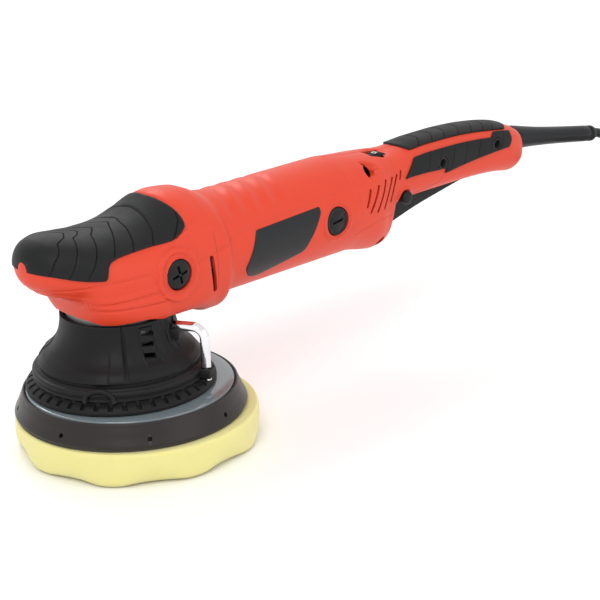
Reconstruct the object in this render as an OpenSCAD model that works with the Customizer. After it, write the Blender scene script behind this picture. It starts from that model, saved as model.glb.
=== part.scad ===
// Dual-action orbital polisher with a D-shaped front grip, a bell shroud over the
// eccentric drive, a 150 mm backing plate, a foam pad and an in-line rear handle.
// Millimetres. The pad's working face is z = 0 and the spindle turns about the Z axis.
// The front grip points to -X, the rear handle and the cord to +X.

/* [Pad and backing plate] */
// Diameter of the foam pad
pad_d = 158; // [140:1:190]
// Thickness of the foam pad
pad_h = 22.6; // [15:0.2:30]
// Diameter of the backing plate at its lower edge
plate_d = 150; // [125:1:154]
// Distance the backing plate runs off the spindle axis
orbit = 6; // [4:0.5:8]
// Distance the foam pad is stuck on off the plate's centre
pad_shift = 3.5; // [0:0.5:5]

/* [Head] */
// Radius of the bell shroud at its foot
bell_r = 54.4; // [50:0.2:62]
// Radius of the bell shroud's neck
neck_r = 37; // [36:0.2:40]
// Half width of the head
head_w = 39.8; // [39.4:0.2:46]
// How far the front grip reaches ahead of the spindle axis
grip_reach = 69; // [60:1:84]

/* [Motor] */
// Outer radius of the motor barrel
barrel_r = 34.6; // [34:0.2:41.6]
// Distance from the spindle axis to the seam behind the motor
seam_x = 187; // [187:1:225]
// Teeth on the bevel pinion
pinion_teeth = 9; // [9:1:9]
// Teeth on the crown gear
crown_teeth = 36; // [36:1:36]

/* [Rear handle] */
// Length of the rear handle behind the seam
handle_len = 205; // [172:1:246]
// Half width of the rear handle at its grip
handle_w = 19.6; // [18:0.2:24]
// Wall of the plastic shells
wall = 2.6; // [2.2:0.1:3.2]
// Thickness of the soft grips
grip_t = 1.3; // [0.8:0.1:2]

/* [Cord] */
// Outer diameter of the round cord
cord_d = 7.6; // [6:0.2:9]
// Mean radius of the coil on the floor
coil_r = 42; // [38:1:50]

/* [Clearances] */
// Radial clearance of a turning shaft in its bearing
run_fit = 0.03; // [0.02:0.01:0.08]
// Gap between two parts that touch in the real tool
joint_gap = 0.04; // [0.02:0.01:0.1]
// Radial clearance of a sliding part
slide_fit = 0.15; // [0.1:0.05:0.3]

/* [Hidden] */
$fn = 64;
plate_h = 13.4;
hook_h = 2;
plate_z = pad_h + hook_h;
disc_z = plate_z + plate_h;
foot_z = disc_z + 3;
head_z = foot_z + 49;
axis_z = head_z + 24;
orbit_dir = -60;
orbit_x = orbit * cos(orbit_dir);
orbit_y = orbit * sin(orbit_dir);
pad_x = orbit_x + pad_shift * cos(-44);
pad_y = orbit_y + pad_shift * sin(-44);
gap = joint_gap;

// Bearings: inner radius, outer radius, width
lower_b = [8.5, 20, 12];
upper_b = [5, 13, 8];
front_b = [5, 15, 9];
rear_b = [4, 11, 7];
orbit_b = [6, 14, 8];

// Bevel gears share a cone apex where the two axes cross
gear_m = 1.35;
crown_r = crown_teeth * gear_m / 2;
pinion_r = pinion_teeth * gear_m / 2;
face_in = crown_r - 7.5;
tooth_hi = 0.62;
tooth_lo = 0.98;
tooth_arc = 0.40;

// Motor stations along X, measured back from the seam so the motor moves with it
flange_x = 54;
step_x = 68;
comm_x = seam_x - 30;
brush_x = comm_x + 10;
rear_b_x = seam_x - 5;
stator_len = 44;
stator_x = comm_x - 18 - stator_len;
fan_x = 60;
inner_r = barrel_r - 3;
shaft_r = 5;

handle_k = handle_len / 205;
boot_x = seam_x + handle_len - 6;
boot_z = axis_z + 8.6;
boot_tilt = 9.5;
boot_len = 112;

// Dial, trigger and switch places behind the seam
dial_x = seam_x + 47 * handle_k;
dial_r = 13;
dial_y = -6;
trig_x = seam_x + 52 * handle_k;
trig_len = 88 * handle_k;
trig_w = 14;
pivot_x = trig_x + trig_len - 6;
pivot_z = axis_z - 6.5;
switch_x = trig_x + 22;
lock_x = seam_x + 63 * handle_k;
lock_z = axis_z - 4.5;

coil_x = 605;
coil_y = -25;
coil_h = 3 * cord_d;
coil_w = 3.2 * cord_d;
plug_y = coil_y - 62;
plug_x = coil_x + coil_r;
plug_z = 8;

// ---- Loft sections ------------------------------------------------------
// Each table gives one dimension of the section against x: half width, top, level of
// the widest point, bottom, and the squareness of the upper and lower halves.

hx0 = -grip_reach;
hood_x = [hx0, hx0 + 2, hx0 + 6, hx0 + 12, hx0 + 20, -40, -31, -20, -8, 4, 14, 22, 30, 40, flange_x - 0.3];
hood_wd = [5, 11.5, 18, 23.5, 28, head_w - 8.6, head_w - 5.8, head_w - 2.8, head_w - 1, head_w, head_w, head_w,
    head_w - 0.2, head_w - 0.5, head_w - 1];
hood_tp = [24, 28, 31.5, 33.8, 34.2, 33.2, 32.2, 31.2, 31.4, 33, 36.2, 40, 43.6, 45.2, 44];
hood_md = [18, 18, 17, 16, 14, 12, 8, 4, 2, 1, 0, 0, 0, 0, 0];
hood_bt = [12, 8, 4, -1, -7, -16, -21.5, -23.6, -24, -24, -24, -24, -24, -24, -24];
hood_nt = [2, 2, 2.1, 2.2, 2.4, 2.5, 2.5, 2.4, 2.3, 2.2, 2.2, 2.1, 2.1, 2.1, 2.1];
hood_nb = [2, 2, 2, 2.1, 2.2, 2.6, 3.4, 4.5, 6, 7, 7, 7, 6, 6, 6];

han_x = [for (v = [0, 6, 14, 24, 32, 39, 46, 49, 53, 60, 74, 94, 118, 142, 162, 180, 192, 199, 203, 205])
    seam_x + v * handle_k];
han_tp = [34.6, 34, 33, 31.8, 31, 30.4, 29.8, 29.5, 29, 28.4, 29, 30.2, 30.4, 29.4, 27.4, 24.6, 21.6, 18.6, 15.5, 12.5];
han_md = [0, 0, 0, 0, 0, 1, 2, 4, 6, 8, 9, 9.5, 9.5, 9, 8, 6.5, 5, 3.5, 3, 3];
han_bt = [-34.6, -34.6, -35.5, -37.5, -38.5, -38.5, -36, -26, -13, -10.5, -10, -10, -10, -10.2, -11, -13, -15, -14,
    -11.5, -8];
han_wd = [barrel_r - 0.1, barrel_r - 0.3, barrel_r - 1.1, barrel_r - 2.6, barrel_r - 4.6, barrel_r - 7.2,
    barrel_r - 9.6, barrel_r - 10.6, handle_w + 3.4, handle_w + 1.9, handle_w + 0.5, handle_w, handle_w,
    handle_w + 0.3, handle_w + 0.8, handle_w + 0.6, handle_w - 1, handle_w - 3.2, handle_w - 6, handle_w - 9];
han_n = [2, 2, 2.1, 2.3, 2.5, 2.6, 2.7, 2.7, 2.7, 2.7, 2.7, 2.7, 2.7, 2.7, 2.7, 2.7, 2.6, 2.5, 2.4, 2.2];

function table(xs, vs) = [for (i = [0 : len(xs) - 1]) [xs[i], vs[i]]];
HOOD = [for (v = [hood_wd, hood_tp, hood_md, hood_bt, hood_nt, hood_nb]) table(hood_x, v)];
HANDLE = [for (v = [han_wd, han_tp, han_md, han_bt, han_n, han_n]) table(han_x, v)];

// Point on a section at x, at angle a from straight up towards +Y, d outside the surface
function on_loft(F, x, a, d) = let (
    w = lookup(x, F[0]) + d, tp = lookup(x, F[1]) + d, md = lookup(x, F[2]), bt = lookup(x, F[3]) - d,
    s = sin(a), c = cos(a), n = lookup(x, c >= 0 ? F[4] : F[5]), h = c >= 0 ? tp - md : md - bt,
    k = pow(pow(abs(s), n) + pow(abs(c), n), -1 / n))
    [x, w * s * k, axis_z + md + h * c * k];

function quad(a, b, c, d) = [[a, b, c], [a, c, d]];
function flat(L) = [for (a = L) for (b = a) b];

// Closed skin between an outer and an inner grid. rows = stations, cols = angles.
// wrap joins the last angle to the first; caps close both ends of a wrapped skin.
function skin_faces(nr, nc, wrap) = let (
    o = nr * nc, last = wrap ? nc - 1 : nc - 2,
    outer = [for (i = [0 : nr - 2]) for (j = [0 : last])
        quad(i * nc + j, i * nc + (j + 1) % nc, (i + 1) * nc + (j + 1) % nc, (i + 1) * nc + j)],
    inner = [for (i = [0 : nr - 2]) for (j = [0 : last])
        quad(o + i * nc + j, o + (i + 1) * nc + j, o + (i + 1) * nc + (j + 1) % nc, o + i * nc + (j + 1) % nc)],
    ends = [for (j = [0 : last]) each [
        quad(j, o + j, o + (j + 1) % nc, (j + 1) % nc),
        quad((nr - 1) * nc + j, (nr - 1) * nc + (j + 1) % nc, o + (nr - 1) * nc + (j + 1) % nc, o + (nr - 1) * nc + j)]],
    sides = wrap ? [] : [for (i = [0 : nr - 2]) each [
        quad(i * nc, (i + 1) * nc, o + (i + 1) * nc, o + i * nc),
        quad(i * nc + nc - 1, o + i * nc + nc - 1, o + (i + 1) * nc + nc - 1, (i + 1) * nc + nc - 1)]])
    flat(concat(outer, inner, ends, sides));

// Patch of skin from d0 to d1 outside the loft F, over stations xs and angles as
module patch(F, xs, as, d0, d1) {
    nr = len(xs);
    nc = len(as);
    pts = [for (d = [d1, d0]) for (x = xs) for (a = as) on_loft(F, x, a, d)];
    polyhedron(pts, skin_faces(nr, nc, false), 4);
}

function steps(a, b, n) = [for (i = [0 : n]) a + (b - a) * i / n];

// Solid tapered sweep along a list of points with a radius for each
module sweep(path, radii, m) {
    n = len(path);
    function dir(i) = let (v = i == 0 ? path[1] - path[0] : i == n - 1 ? path[n - 1] - path[n - 2] :
        path[i + 1] - path[i - 1]) v / norm(v);
    pts = [for (i = [0 : n - 1]) let (t = dir(i), u0 = cross([0, 1, 0], t), u = u0 / norm(u0), v = cross(t, u))
        for (j = [0 : m - 1]) path[i] + radii[i] * (cos(360 * j / m) * u + sin(360 * j / m) * v)];
    walls = flat([for (i = [0 : n - 2]) for (j = [0 : m - 1])
        quad(i * m + j, (i + 1) * m + j, (i + 1) * m + (j + 1) % m, i * m + (j + 1) % m)]);
    cap0 = [for (j = [1 : m - 2]) [0, j, j + 1]];
    cap1 = [for (j = [1 : m - 2]) [(n - 1) * m, (n - 1) * m + j + 1, (n - 1) * m + j]];
    polyhedron(pts, concat(walls, cap0, cap1), 4);
}

// Local Z laid along +X on the motor axis, starting at x
module along_x(x, dy = 0, dz = 0) translate([x, dy, axis_z + dz]) rotate([0, 90, 0]) children();
module along_y(x, y, z) translate([x, y, z]) rotate([-90, 0, 0]) children();
module at_orbit(z = 0) translate([orbit_x, orbit_y, z]) children();

module tube(r_out, r_in, h) difference() {
    cylinder(r = r_out, h = h);
    translate([0, 0, -1]) cylinder(r = r_in, h = h + 2);
}

// Sealed ball bearing, recessed between its two rings
module bearing(b) rotate_extrude() polygon([
    [b[0], 0], [b[0] + 0.22 * (b[1] - b[0]), 0], [b[0] + 0.22 * (b[1] - b[0]), 0.5],
    [b[1] - 0.22 * (b[1] - b[0]), 0.5], [b[1] - 0.22 * (b[1] - b[0]), 0], [b[1], 0], [b[1], b[2]],
    [b[1] - 0.22 * (b[1] - b[0]), b[2]], [b[1] - 0.22 * (b[1] - b[0]), b[2] - 0.5],
    [b[0] + 0.22 * (b[1] - b[0]), b[2] - 0.5], [b[0] + 0.22 * (b[1] - b[0]), b[2]], [b[0], b[2]]]);

// Pan-head screw standing on z = 0 with its shank below
module screw(r, l, head_r, head_h) difference() {
    union() {
        translate([0, 0, -l]) cylinder(r = r, h = l);
        cylinder(r = head_r, h = head_h);
    }
    for (a = [0, 90]) rotate(a) translate([-head_r * 0.6, -head_r * 0.12, head_h * 0.45])
        cube([head_r * 1.2, head_r * 0.24, head_h]);
}

// One straight bevel tooth between two distances from the apex; rp = pitch radius of the
// large end, the tooth stands on a cone of that radius and its half-angle is half
module bevel_tooth(rp, cone, half) {
    // s = share of the large end; the tooth's section is a trapezoid scaled towards the apex
    function sec(s) = [for (q = [[-1.35, -tooth_lo * gear_m], [1.35, -tooth_lo * gear_m],
        [0.52, tooth_hi * gear_m], [-0.52, tooth_hi * gear_m]])
        [q[0] * rp * sin(half) * s, (rp + q[1] * cos(cone)) * s, (rp / tan(cone) - q[1] * sin(cone)) * s]];
    polyhedron(concat(sec(1), sec(face_in / crown_r)),
        [[0, 2, 1], [0, 3, 2], [4, 5, 6], [4, 6, 7], [0, 5, 4], [0, 1, 5], [1, 6, 5], [1, 2, 6],
        [2, 7, 6], [2, 3, 7], [3, 4, 7], [3, 0, 4]]);
}

// ---- Foam pad and backing plate -------------------------------------------

// [share of the pad's radius, share of its height, size of the edge wave there]
PAD_RINGS = [[0.985, 1, 0], [1, 0.86, 0], [1.005, 0.6, 0.3], [1, 0.36, 1], [0.985, 0.2, 1], [0.95, 0.07, 0.8],
    [0.9, 0.012, 0.2], [0.84, 0, 0]];

module foam_pad() color("Khaki") {
    m = 72;
    n = len(PAD_RINGS);
    pts = concat(flat([for (q = PAD_RINGS) [for (j = [0 : m - 1]) let (a = 360 * j / m, wv = cos(a * 9) * q[2])
        [pad_x + pad_d / 2 * (q[0] - 0.011 * wv * (1 - q[1])) * cos(a),
         pad_y + pad_d / 2 * (q[0] - 0.011 * wv * (1 - q[1])) * sin(a),
         max(0, pad_h * (q[1] + 0.085 * wv))]]]), [[pad_x, pad_y, pad_h], [pad_x, pad_y, 0]]);
    walls = flat([for (i = [0 : n - 2]) for (j = [0 : m - 1])
        quad(i * m + j, i * m + (j + 1) % m, (i + 1) * m + (j + 1) % m, (i + 1) * m + j)]);
    top = [for (j = [0 : m - 1]) [n * m, (j + 1) % m, j]];
    bot = [for (j = [0 : m - 1]) [n * m + 1, (n - 1) * m + j, (n - 1) * m + (j + 1) % m]];
    polyhedron(pts, concat(walls, top, bot), 4);
}

module hook_layer() color("DimGray") at_orbit(pad_h) difference() {
    cylinder(d = plate_d - 2, h = hook_h - gap, $fn = 96);
    translate([0, 0, -1]) cylinder(r = 15, h = 5);
}

module backing_plate() color("DarkSlateGray") at_orbit(plate_z) difference() {
    rotate_extrude($fn = 120) polygon([[0, 0], [plate_d / 2, 0], [plate_d / 2 + 0.3, 1.2], [plate_d / 2 - 0.4, 3],
        [plate_d / 2 - 2, 6.4], [plate_d / 2 - 4.3, 10.4], [plate_d / 2 - 5, plate_h],
        [plate_d / 2 - 5.6, plate_h + 1.2], [plate_d / 2 - 6.6, plate_h + 1.2], [plate_d / 2 - 7, plate_h],
        [0, plate_h]]);
    translate([0, 0, -1]) cylinder(r = 14, h = 8);
    cylinder(r = 4.2, h = 40);
    for (a = [15 : 45 : 345]) rotate(a) translate([plate_d / 2 - 6, 0, 3.6]) rotate([0, 90, 0])
        cylinder(r = 1.5, h = 10, $fn = 24);
}

module plate_disc() color("LightSteelBlue") at_orbit(disc_z + gap) difference() {
    cylinder(d = plate_d - 15, h = 1.9, $fn = 120);
    translate([0, 0, -1]) cylinder(r = 12.2, h = 5);
}

module pad_bolt() color("DimGray") at_orbit(plate_z + 7 - gap) difference() {
    union() {
        translate([0, 0, -1.6]) cylinder(r = 11, h = 1.6);
        translate([0, 0, -6]) cylinder(r = 6.5, h = 6);
        cylinder(r = 4 - gap, h = 26.8);
    }
    translate([0, 0, -7]) cylinder(r = 2.9, h = 4.6, $fn = 6);
}

// ---- Eccentric drive under the head --------------------------------------

module pad_spindle() color("Silver") at_orbit(disc_z + gap) difference() {
    union() {
        cylinder(r = 12, h = 3.6);
        cylinder(r = 8.4, h = orbit_z - disc_z - gap - 0.2);
        cylinder(r = orbit_b[0] - run_fit, h = 2 * orbit_b[2] + 5.4);
    }
    translate([0, 0, -1]) cylinder(r = 4 + gap, h = 21.5);
}

orbit_z = disc_z + 5;
ecc_top = head_z - 19;

module orbit_bearings() color("Silver") at_orbit()
    for (k = [0, 1]) translate([0, 0, orbit_z + k * (orbit_b[2] + 0.6)]) bearing(orbit_b);

// Eccentric: orbiting housing below, counterweight opposite, hub on the spindle above
module counterweight() color("DarkGray") difference() {
    union() {
        at_orbit(orbit_z - 0.6) cylinder(r = orbit_b[1] + 4, h = 2 * orbit_b[2] + 5);
        translate([0, 0, orbit_z + 16]) cylinder(r = 15, h = ecc_top - orbit_z - 16);
        translate([0, 0, orbit_z + 14]) rotate(orbit_dir) difference() {
            cylinder(r = neck_r - 7, h = 9);
            translate([4, -50, -1]) cube([100, 100, 30]);
        }
    }
    at_orbit(orbit_z - 2) cylinder(r = orbit_b[1] + gap, h = 2 * orbit_b[2] + 2.8);
    translate([0, 0, ecc_top - 9]) cylinder(r = 7 + gap, h = 20);
}

module bell_shroud() color("#2b2b2d") difference() {
    union() {
        rotate_extrude($fn = 96) polygon([
            [bell_r - 2.4, foot_z + 2.6], [bell_r, foot_z + 2.6], [bell_r, foot_z + 13.4], [bell_r - 1.6, foot_z + 14.6],
            [bell_r - 3.2, foot_z + 14.8], [bell_r - 3.2, foot_z + 16.6], [bell_r - 1.8, foot_z + 17],
            [bell_r - 4.4, foot_z + 20.4], [neck_r + 6.6, foot_z + 26.4], [neck_r + 2.4, foot_z + 33.6],
            [neck_r, foot_z + 41], [neck_r - 0.2, head_z - 0.6], [neck_r - 2.6, head_z - 0.6],
            [neck_r - 2.4, foot_z + 41], [neck_r - 1.4, foot_z + 37.4], [22, foot_z + 37.4],
            [22, foot_z + 34.4], [neck_r - 1.2, foot_z + 34.4], [neck_r + 3.8, foot_z + 25],
            [bell_r - 7, foot_z + 19], [bell_r - 5.4, foot_z + 13], [bell_r - 2.4, foot_z + 12]]);
        // clip for the stored key's short arm
        rotate(key_dir) translate([neck_r - 1.6, -5.7, foot_z + 32.9]) difference() {
            cube([8, 11.4, 7.3]);
            translate([-1, 5.7 - key_r - 0.25, 3]) cube([20, 2 * key_r + 0.5, 8]);
        }
    }
    // cooling vents
    for (s = [-1, 1]) for (k = [0 : 2]) rotate(s * 101) translate([neck_r - 4, -5, foot_z + 24.6 + k * 3.4])
        cube([20, 10, 1.5]);
    for (a = [45 : 90 : 315]) rotate(a) translate([27, 0, foot_z + 30]) cylinder(r = 2.1, h = 12);
}

module shroud_screws() color("DimGray") for (a = [45 : 90 : 315]) rotate(a)
    translate([27, 0, foot_z + 34.4 - gap]) rotate([180, 0, 0]) screw(2, 9.5, 3.8, 2);

module shroud_band() color("#202022") difference() {
    union() {
        translate([0, 0, foot_z + 6.2]) cylinder(r = bell_r + 1.9, h = 7, $fn = 96);
        // clip that holds the key's long arm, and the loop at the front
        rotate(key_dir) translate([bell_r - 3, -5.2, foot_z + 6.5]) cube([12, 10.4, 6.3]);
        rotate(218) translate([bell_r - 3, -9, foot_z + 6.5]) cube([8.2, 18, 4.7]);
    }
    translate([0, 0, foot_z]) cylinder(r = bell_r + gap, h = 40, $fn = 96);
    rotate(key_dir) translate([key_x, 0, foot_z]) cylinder(r = key_r + 0.35, h = 30, $fn = 48);
    rotate(key_dir) translate([key_x, -key_r + 0.2, foot_z]) cube([20, 2 * key_r - 0.4, 30]);
    rotate(218) translate([bell_r + 2.3, -6, foot_z + 3]) cube([1.6, 12, 20]);
}

module serrated_ring() color("#1c1c1e") translate([0, 0, foot_z - 1]) difference() {
    union() {
        linear_extrude(4.6) polygon([for (j = [0 : 95]) let (a = 360 * j / 96, r = bell_r + (j % 2 == 0 ? 7.2 : 6.2))
            [r * cos(a), r * sin(a)]]);
        rotate_extrude($fn = 96) polygon([[bell_r - 1, 1], [bell_r + 6, 1], [bell_r + 5.4, 6], [bell_r + 0.6, 7],
            [bell_r - 1, 7]]);
    }
    translate([0, 0, -1]) cylinder(r = bell_r - 2, h = 4.5, $fn = 96);
    translate([0, 0, 3.5]) cylinder(r = bell_r + gap, h = 10, $fn = 96);
}

// Stored 6 mm hex key: long arm down through the band's clip, short arm in to the neck
key_r = 3.46;
key_dir = -61;
key_x = bell_r + 4.6;
key_bend = 8;
key_top = foot_z + 39.6;

module hex_key() color("Gainsboro") rotate(key_dir) {
    translate([key_x, 0, foot_z + 6.3]) cylinder(r = key_r, h = key_top - key_bend - foot_z - 6.3, $fn = 6);
    translate([key_x - key_bend, 0, key_top - key_bend]) rotate([90, 0, 0]) rotate_extrude(angle = 90, $fn = 48)
        translate([key_bend, 0]) circle(r = key_r, $fn = 6);
    translate([neck_r + 1.9, 0, key_top]) rotate([0, 90, 0]) cylinder(r = key_r, h = key_x - key_bend - neck_r - 1.9,
        $fn = 6);
}

// ---- Gearbox ------------------------------------------------------------

module spindle() color("Silver") translate([0, 0, ecc_top - 9 + 0.3]) {
    cylinder(r = 7, h = 12);
    translate([0, 0, 9]) cylinder(r = lower_b[0] - run_fit, h = head_z - ecc_top + 5.2);
    translate([0, 0, 9]) cylinder(r = 7.5, h = head_z - ecc_top + 15);
    translate([0, 0, 20]) cylinder(r = upper_b[0] - run_fit, h = axis_z + 18.4 - ecc_top - 11);
}

crown_z = axis_z - pinion_r;
crown_cone = atan(crown_teeth / pinion_teeth);

module crown_gear() color("Gray") {
    rotate_extrude($fn = 96) polygon([[7.5 + gap, head_z + 5.6], [14, head_z + 5.6], [crown_r - 2, head_z + 9],
        [crown_r + 1.2, head_z + 12], [crown_r + 0.6, crown_top(crown_r + 0.6)],
        [face_in - 1, crown_top(face_in - 1)], [face_in - 3.6, head_z + 13], [7.5 + gap, head_z + 13]]);
    translate([0, 0, axis_z]) for (j = [0 : crown_teeth - 1]) rotate(360 / crown_teeth * j) mirror([0, 0, 1])
        bevel_tooth(crown_r, crown_cone, 180 / crown_teeth * tooth_arc);
}
// Level of the crown's blank at radius r, just above the roots of its teeth
function crown_top(r) = axis_z - r / tan(crown_cone) - 0.9 * tooth_lo * gear_m;

module pinion() color("Gray") translate([0, 0, axis_z]) rotate([0, 90, 0]) {
    cone = 90 - crown_cone;
    difference() {
        union() {
            rotate_extrude($fn = 48) polygon([[0, face_in], [face_in / crown_r * (pinion_r - 0.78 * tooth_lo * gear_m),
                face_in], [pinion_r - 0.78 * tooth_lo * gear_m, crown_r], [pinion_r - 0.4, crown_r + 1.6],
                [pinion_r - 0.4, crown_r + 5.5], [0, crown_r + 5.5]]);
            for (j = [0 : pinion_teeth - 1]) rotate(360 / pinion_teeth * (j + 0.25))
                bevel_tooth(pinion_r, cone, 180 / pinion_teeth * tooth_arc);
        }
        translate([0, 0, face_in - 1]) cylinder(r = 2.6 + gap, h = 40);
    }
}

module lower_bearing() color("Silver") translate([0, 0, head_z - 9.4]) bearing(lower_b);
module upper_bearing() color("Silver") translate([0, 0, axis_z + 11]) bearing(upper_b);

// Plate that holds the lower bearing up in the gear housing
module bearing_retainer() color("DarkGray") translate([0, 0, head_z - 9.4 - 2.6]) difference() {
    cylinder(r = 21.6, h = 2.6 - gap);
    translate([0, 0, -1]) cylinder(r = 12, h = 10);
}

module gear_housing() color("#3a3c40") difference() {
    union() {
        translate([0, 0, head_z - 11.6]) cylinder(r = 33, h = axis_z - head_z + 11.6 + 14);
        translate([0, 0, axis_z]) cylinder(r = 20, h = 20.6);
        along_x(0) cylinder(r = 21.2, h = 50);
        along_x(flange_x - 7) cylinder(r = barrel_r + 0.8, h = 7 - gap, $fn = 96);
        along_y(plug_sx, -head_w + 4.8, plug_sz) cylinder(r = 9, h = 2 * head_w - 9.6);
    }
    // gear room, bearing seats, pinion and shaft ways
    translate([0, 0, head_z + 4]) cylinder(r = crown_r + 3.4, h = axis_z - head_z + 5.6);
    translate([0, 0, head_z - 9.4]) cylinder(r = lower_b[1] + gap, h = lower_b[2] + gap);
    translate([0, 0, head_z - 20]) cylinder(r = 21.8, h = 20 - 9.4 + gap);
    translate([0, 0, head_z - 1]) cylinder(r = 14, h = 12);
    translate([0, 0, axis_z + 11 - gap]) cylinder(r = upper_b[1] + gap, h = upper_b[2] + gap);
    translate([0, 0, axis_z + 2]) cylinder(r = 9, h = 10);
    along_x(10) cylinder(r = 12, h = 60);
    along_x(front_x) cylinder(r = front_b[1] + gap, h = 40);
    for (s = [-1, 1]) along_y(plug_sx, s > 0 ? head_w - 4.6 - 14 : -head_w + 4.6, plug_sz) cylinder(r = 4 + gap, h = 14);
    for (a = [45 : 90 : 315]) rotate(a) translate([27, 0, head_z - 13]) cylinder(r = 1.9 + gap * 4, h = 9.4);
    for (a = [45 : 90 : 315]) along_x(flange_x - 8) rotate(a) translate([barrel_r - 4.6, 0, 0])
        cylinder(r = 2.1 + gap, h = 10);
}
front_x = 43;
plug_sx = 20;
plug_sz = axis_z + 1.5;

// ---- Head shell ----------------------------------------------------------

module hood() color("Tomato") {
    m = 44;
    nr = len(hood_x);
    as = [for (j = [0 : m - 1]) 360 * j / m];
    xi = [for (i = [0 : nr - 1]) i == 0 ? hood_x[0] + wall : i == 1 ? hood_x[0] + wall + 1.2 :
        i == 2 ? hood_x[2] + 0.8 : hood_x[i]];
    outer = [for (x = hood_x) for (a = as) on_loft(HOOD, x, a, 0)];
    inner = [for (i = [0 : nr - 1]) for (a = as) on_loft(HOOD, xi[i], a, -wall)];
    o = nr * m;
    skin = flat(concat(
        [for (i = [0 : nr - 2]) for (j = [0 : m - 1])
            quad(i * m + j, i * m + (j + 1) % m, (i + 1) * m + (j + 1) % m, (i + 1) * m + j)],
        [for (i = [0 : nr - 2]) for (j = [0 : m - 1])
            quad(o + i * m + j, o + (i + 1) * m + j, o + (i + 1) * m + (j + 1) % m, o + i * m + (j + 1) % m)],
        [for (j = [0 : m - 1])
            quad((nr - 1) * m + j, (nr - 1) * m + (j + 1) % m, o + (nr - 1) * m + (j + 1) % m, o + (nr - 1) * m + j)]));
    caps = concat([for (j = [1 : m - 2]) [0, j + 1, j]], [for (j = [1 : m - 2]) [o, o + j, o + j + 1]]);
    difference() {
        polyhedron(concat(outer, inner), concat(skin, caps), 6);
        translate([0, 0, head_z - 12]) cylinder(r = neck_r + 1.4, h = 16, $fn = 96);
        translate([0, 0, head_z - 12]) cylinder(r = 33.3, h = 20.5, $fn = 96);
        along_x(flange_x - 9.7) cylinder(r = barrel_r + 1.4, h = 20, $fn = 96);
        along_y(plug_sx, -60, plug_sz) cylinder(r = 10.1, h = 120);
    }
}

module front_overmould() color("#262628") difference() {
    patch(HOOD, [hx0 + 2, hx0 + 6, hx0 + 12, hx0 + 20, -40, -31, -20, -8, 4, 14, 22, 28],
        steps(-84, 84, 28), gap, grip_t);
    translate([-28, -60, axis_z - 40]) cube([80, 120, 61]);
}

module side_plugs() color("#1d1d1f") for (s = [0, 1]) translate([plug_sx, 0, plug_sz]) rotate([0, 0, s * 180])
    translate([0, -head_w + 4.6 - gap, 0]) rotate([90, 0, 0]) screw(4, 13, 9.7, 5.6);

// ---- Motor ----------------------------------------------------------------

module motor_housing() color("Tomato") difference() {
    union() {
        along_x(flange_x) cylinder(r = barrel_r, h = seam_x - flange_x - gap, $fn = 96);
        along_x(flange_x) linear_extrude(step_x - flange_x) intersection() {
            union() {
                circle(r = barrel_r + 4, $fn = 96);
                translate([0, -barrel_r * 0.62]) square([barrel_r + 6, barrel_r * 1.24]);
            }
            translate([-barrel_r - 1.2, -60]) square([2 * barrel_r + 7.4, 120]);
        }
        for (s = [-1, 1]) along_y(brush_x, s > 0 ? barrel_r - 8 : -barrel_r - 0.6, axis_z)
            cylinder(r = 12.4, h = 8.6);
    }
    along_x(flange_x - 1) cylinder(r = barrel_r - 0.6, h = 7);
    along_x(flange_x + 5) cylinder(r = inner_r, h = seam_x - flange_x - 18, $fn = 96);
    along_x(seam_x - 8) cylinder(r = inner_r, h = 20, $fn = 96);
    along_x(seam_x - 30) cylinder(r = rear_b[1] + gap, h = 40);
    for (a = [30 : 60 : 330]) along_x(seam_x - 30) rotate(a) translate([(inner_r + rear_b[1] + 3) / 2, 0, 0])
        cylinder(r = 4.2, h = 40);
    along_y(brush_x, -60, axis_z) cylinder(r = 10.3, h = 120);
    // screw ways from the front flange
    for (a = [45 : 90 : 315]) along_x(flange_x - 1) rotate(a) translate([barrel_r - 4.6, 0, 0])
        cylinder(r = 2.1 + gap, h = 12);
}

module motor_screws() color("DimGray") for (a = [45 : 90 : 315]) along_x(flange_x - 7 - gap) rotate(a)
    translate([barrel_r - 4.6, 0, 0]) rotate([180, 0, 0]) screw(2, 10, 3.6, 2);

// Slanted name badge on each side, cut from a sleeve round the barrel
module badges() color("#18181a") for (s = [0, 1]) translate([0, 0, axis_z]) mirror([0, s, 0]) intersection() {
    translate([flange_x, 0, 0]) rotate([0, 90, 0]) tube(barrel_r + 0.7, barrel_r + gap, 150);
    translate([0, 0, 0]) rotate([90, 0, 0]) linear_extrude(60) polygon([[78, -12], [92, 13], [150, 16],
        [157, 15.4], [131, -12.5], [84, -18]]);
}

module stator_core() color("SlateGray") along_x(stator_x) difference() {
    cylinder(r = inner_r - 0.1, h = stator_len);
    translate([0, 0, -1]) cylinder(r = 17.6, h = stator_len + 2);
    for (a = [45 : 90 : 315]) rotate(a) translate([21.4, 0, -1]) cylinder(r = 3.7, h = stator_len + 2, $fn = 32);
}

module stator_windings() color("Peru") along_x(stator_x) {
    for (a = [45 : 90 : 315]) rotate(a) translate([21.4, 0, -3]) cylinder(r = 3.5, h = stator_len + 6, $fn = 32);
    for (z = [-7, stator_len + 1]) for (a = [-45, 135]) rotate(a) translate([0, 0, z]) rotate_extrude(angle = 90)
        translate([18.2, 0]) square([6.6, 6]);
}

module armature_shaft() color("Silver") {
    along_x(face_in + 0.4) cylinder(r = 2.6, h = 20);
    along_x(crown_r + 5.6) cylinder(r = 4.4, h = front_x - crown_r - 5.6 + 4);
    along_x(front_x - 0.4) cylinder(r = front_b[0] - run_fit, h = comm_x - front_x);
    along_x(comm_x - 2) cylinder(r = shaft_r, h = 24);
    along_x(comm_x + 20) cylinder(r = rear_b[0] - run_fit, h = seam_x - comm_x - 20 + 2);
}

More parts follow.
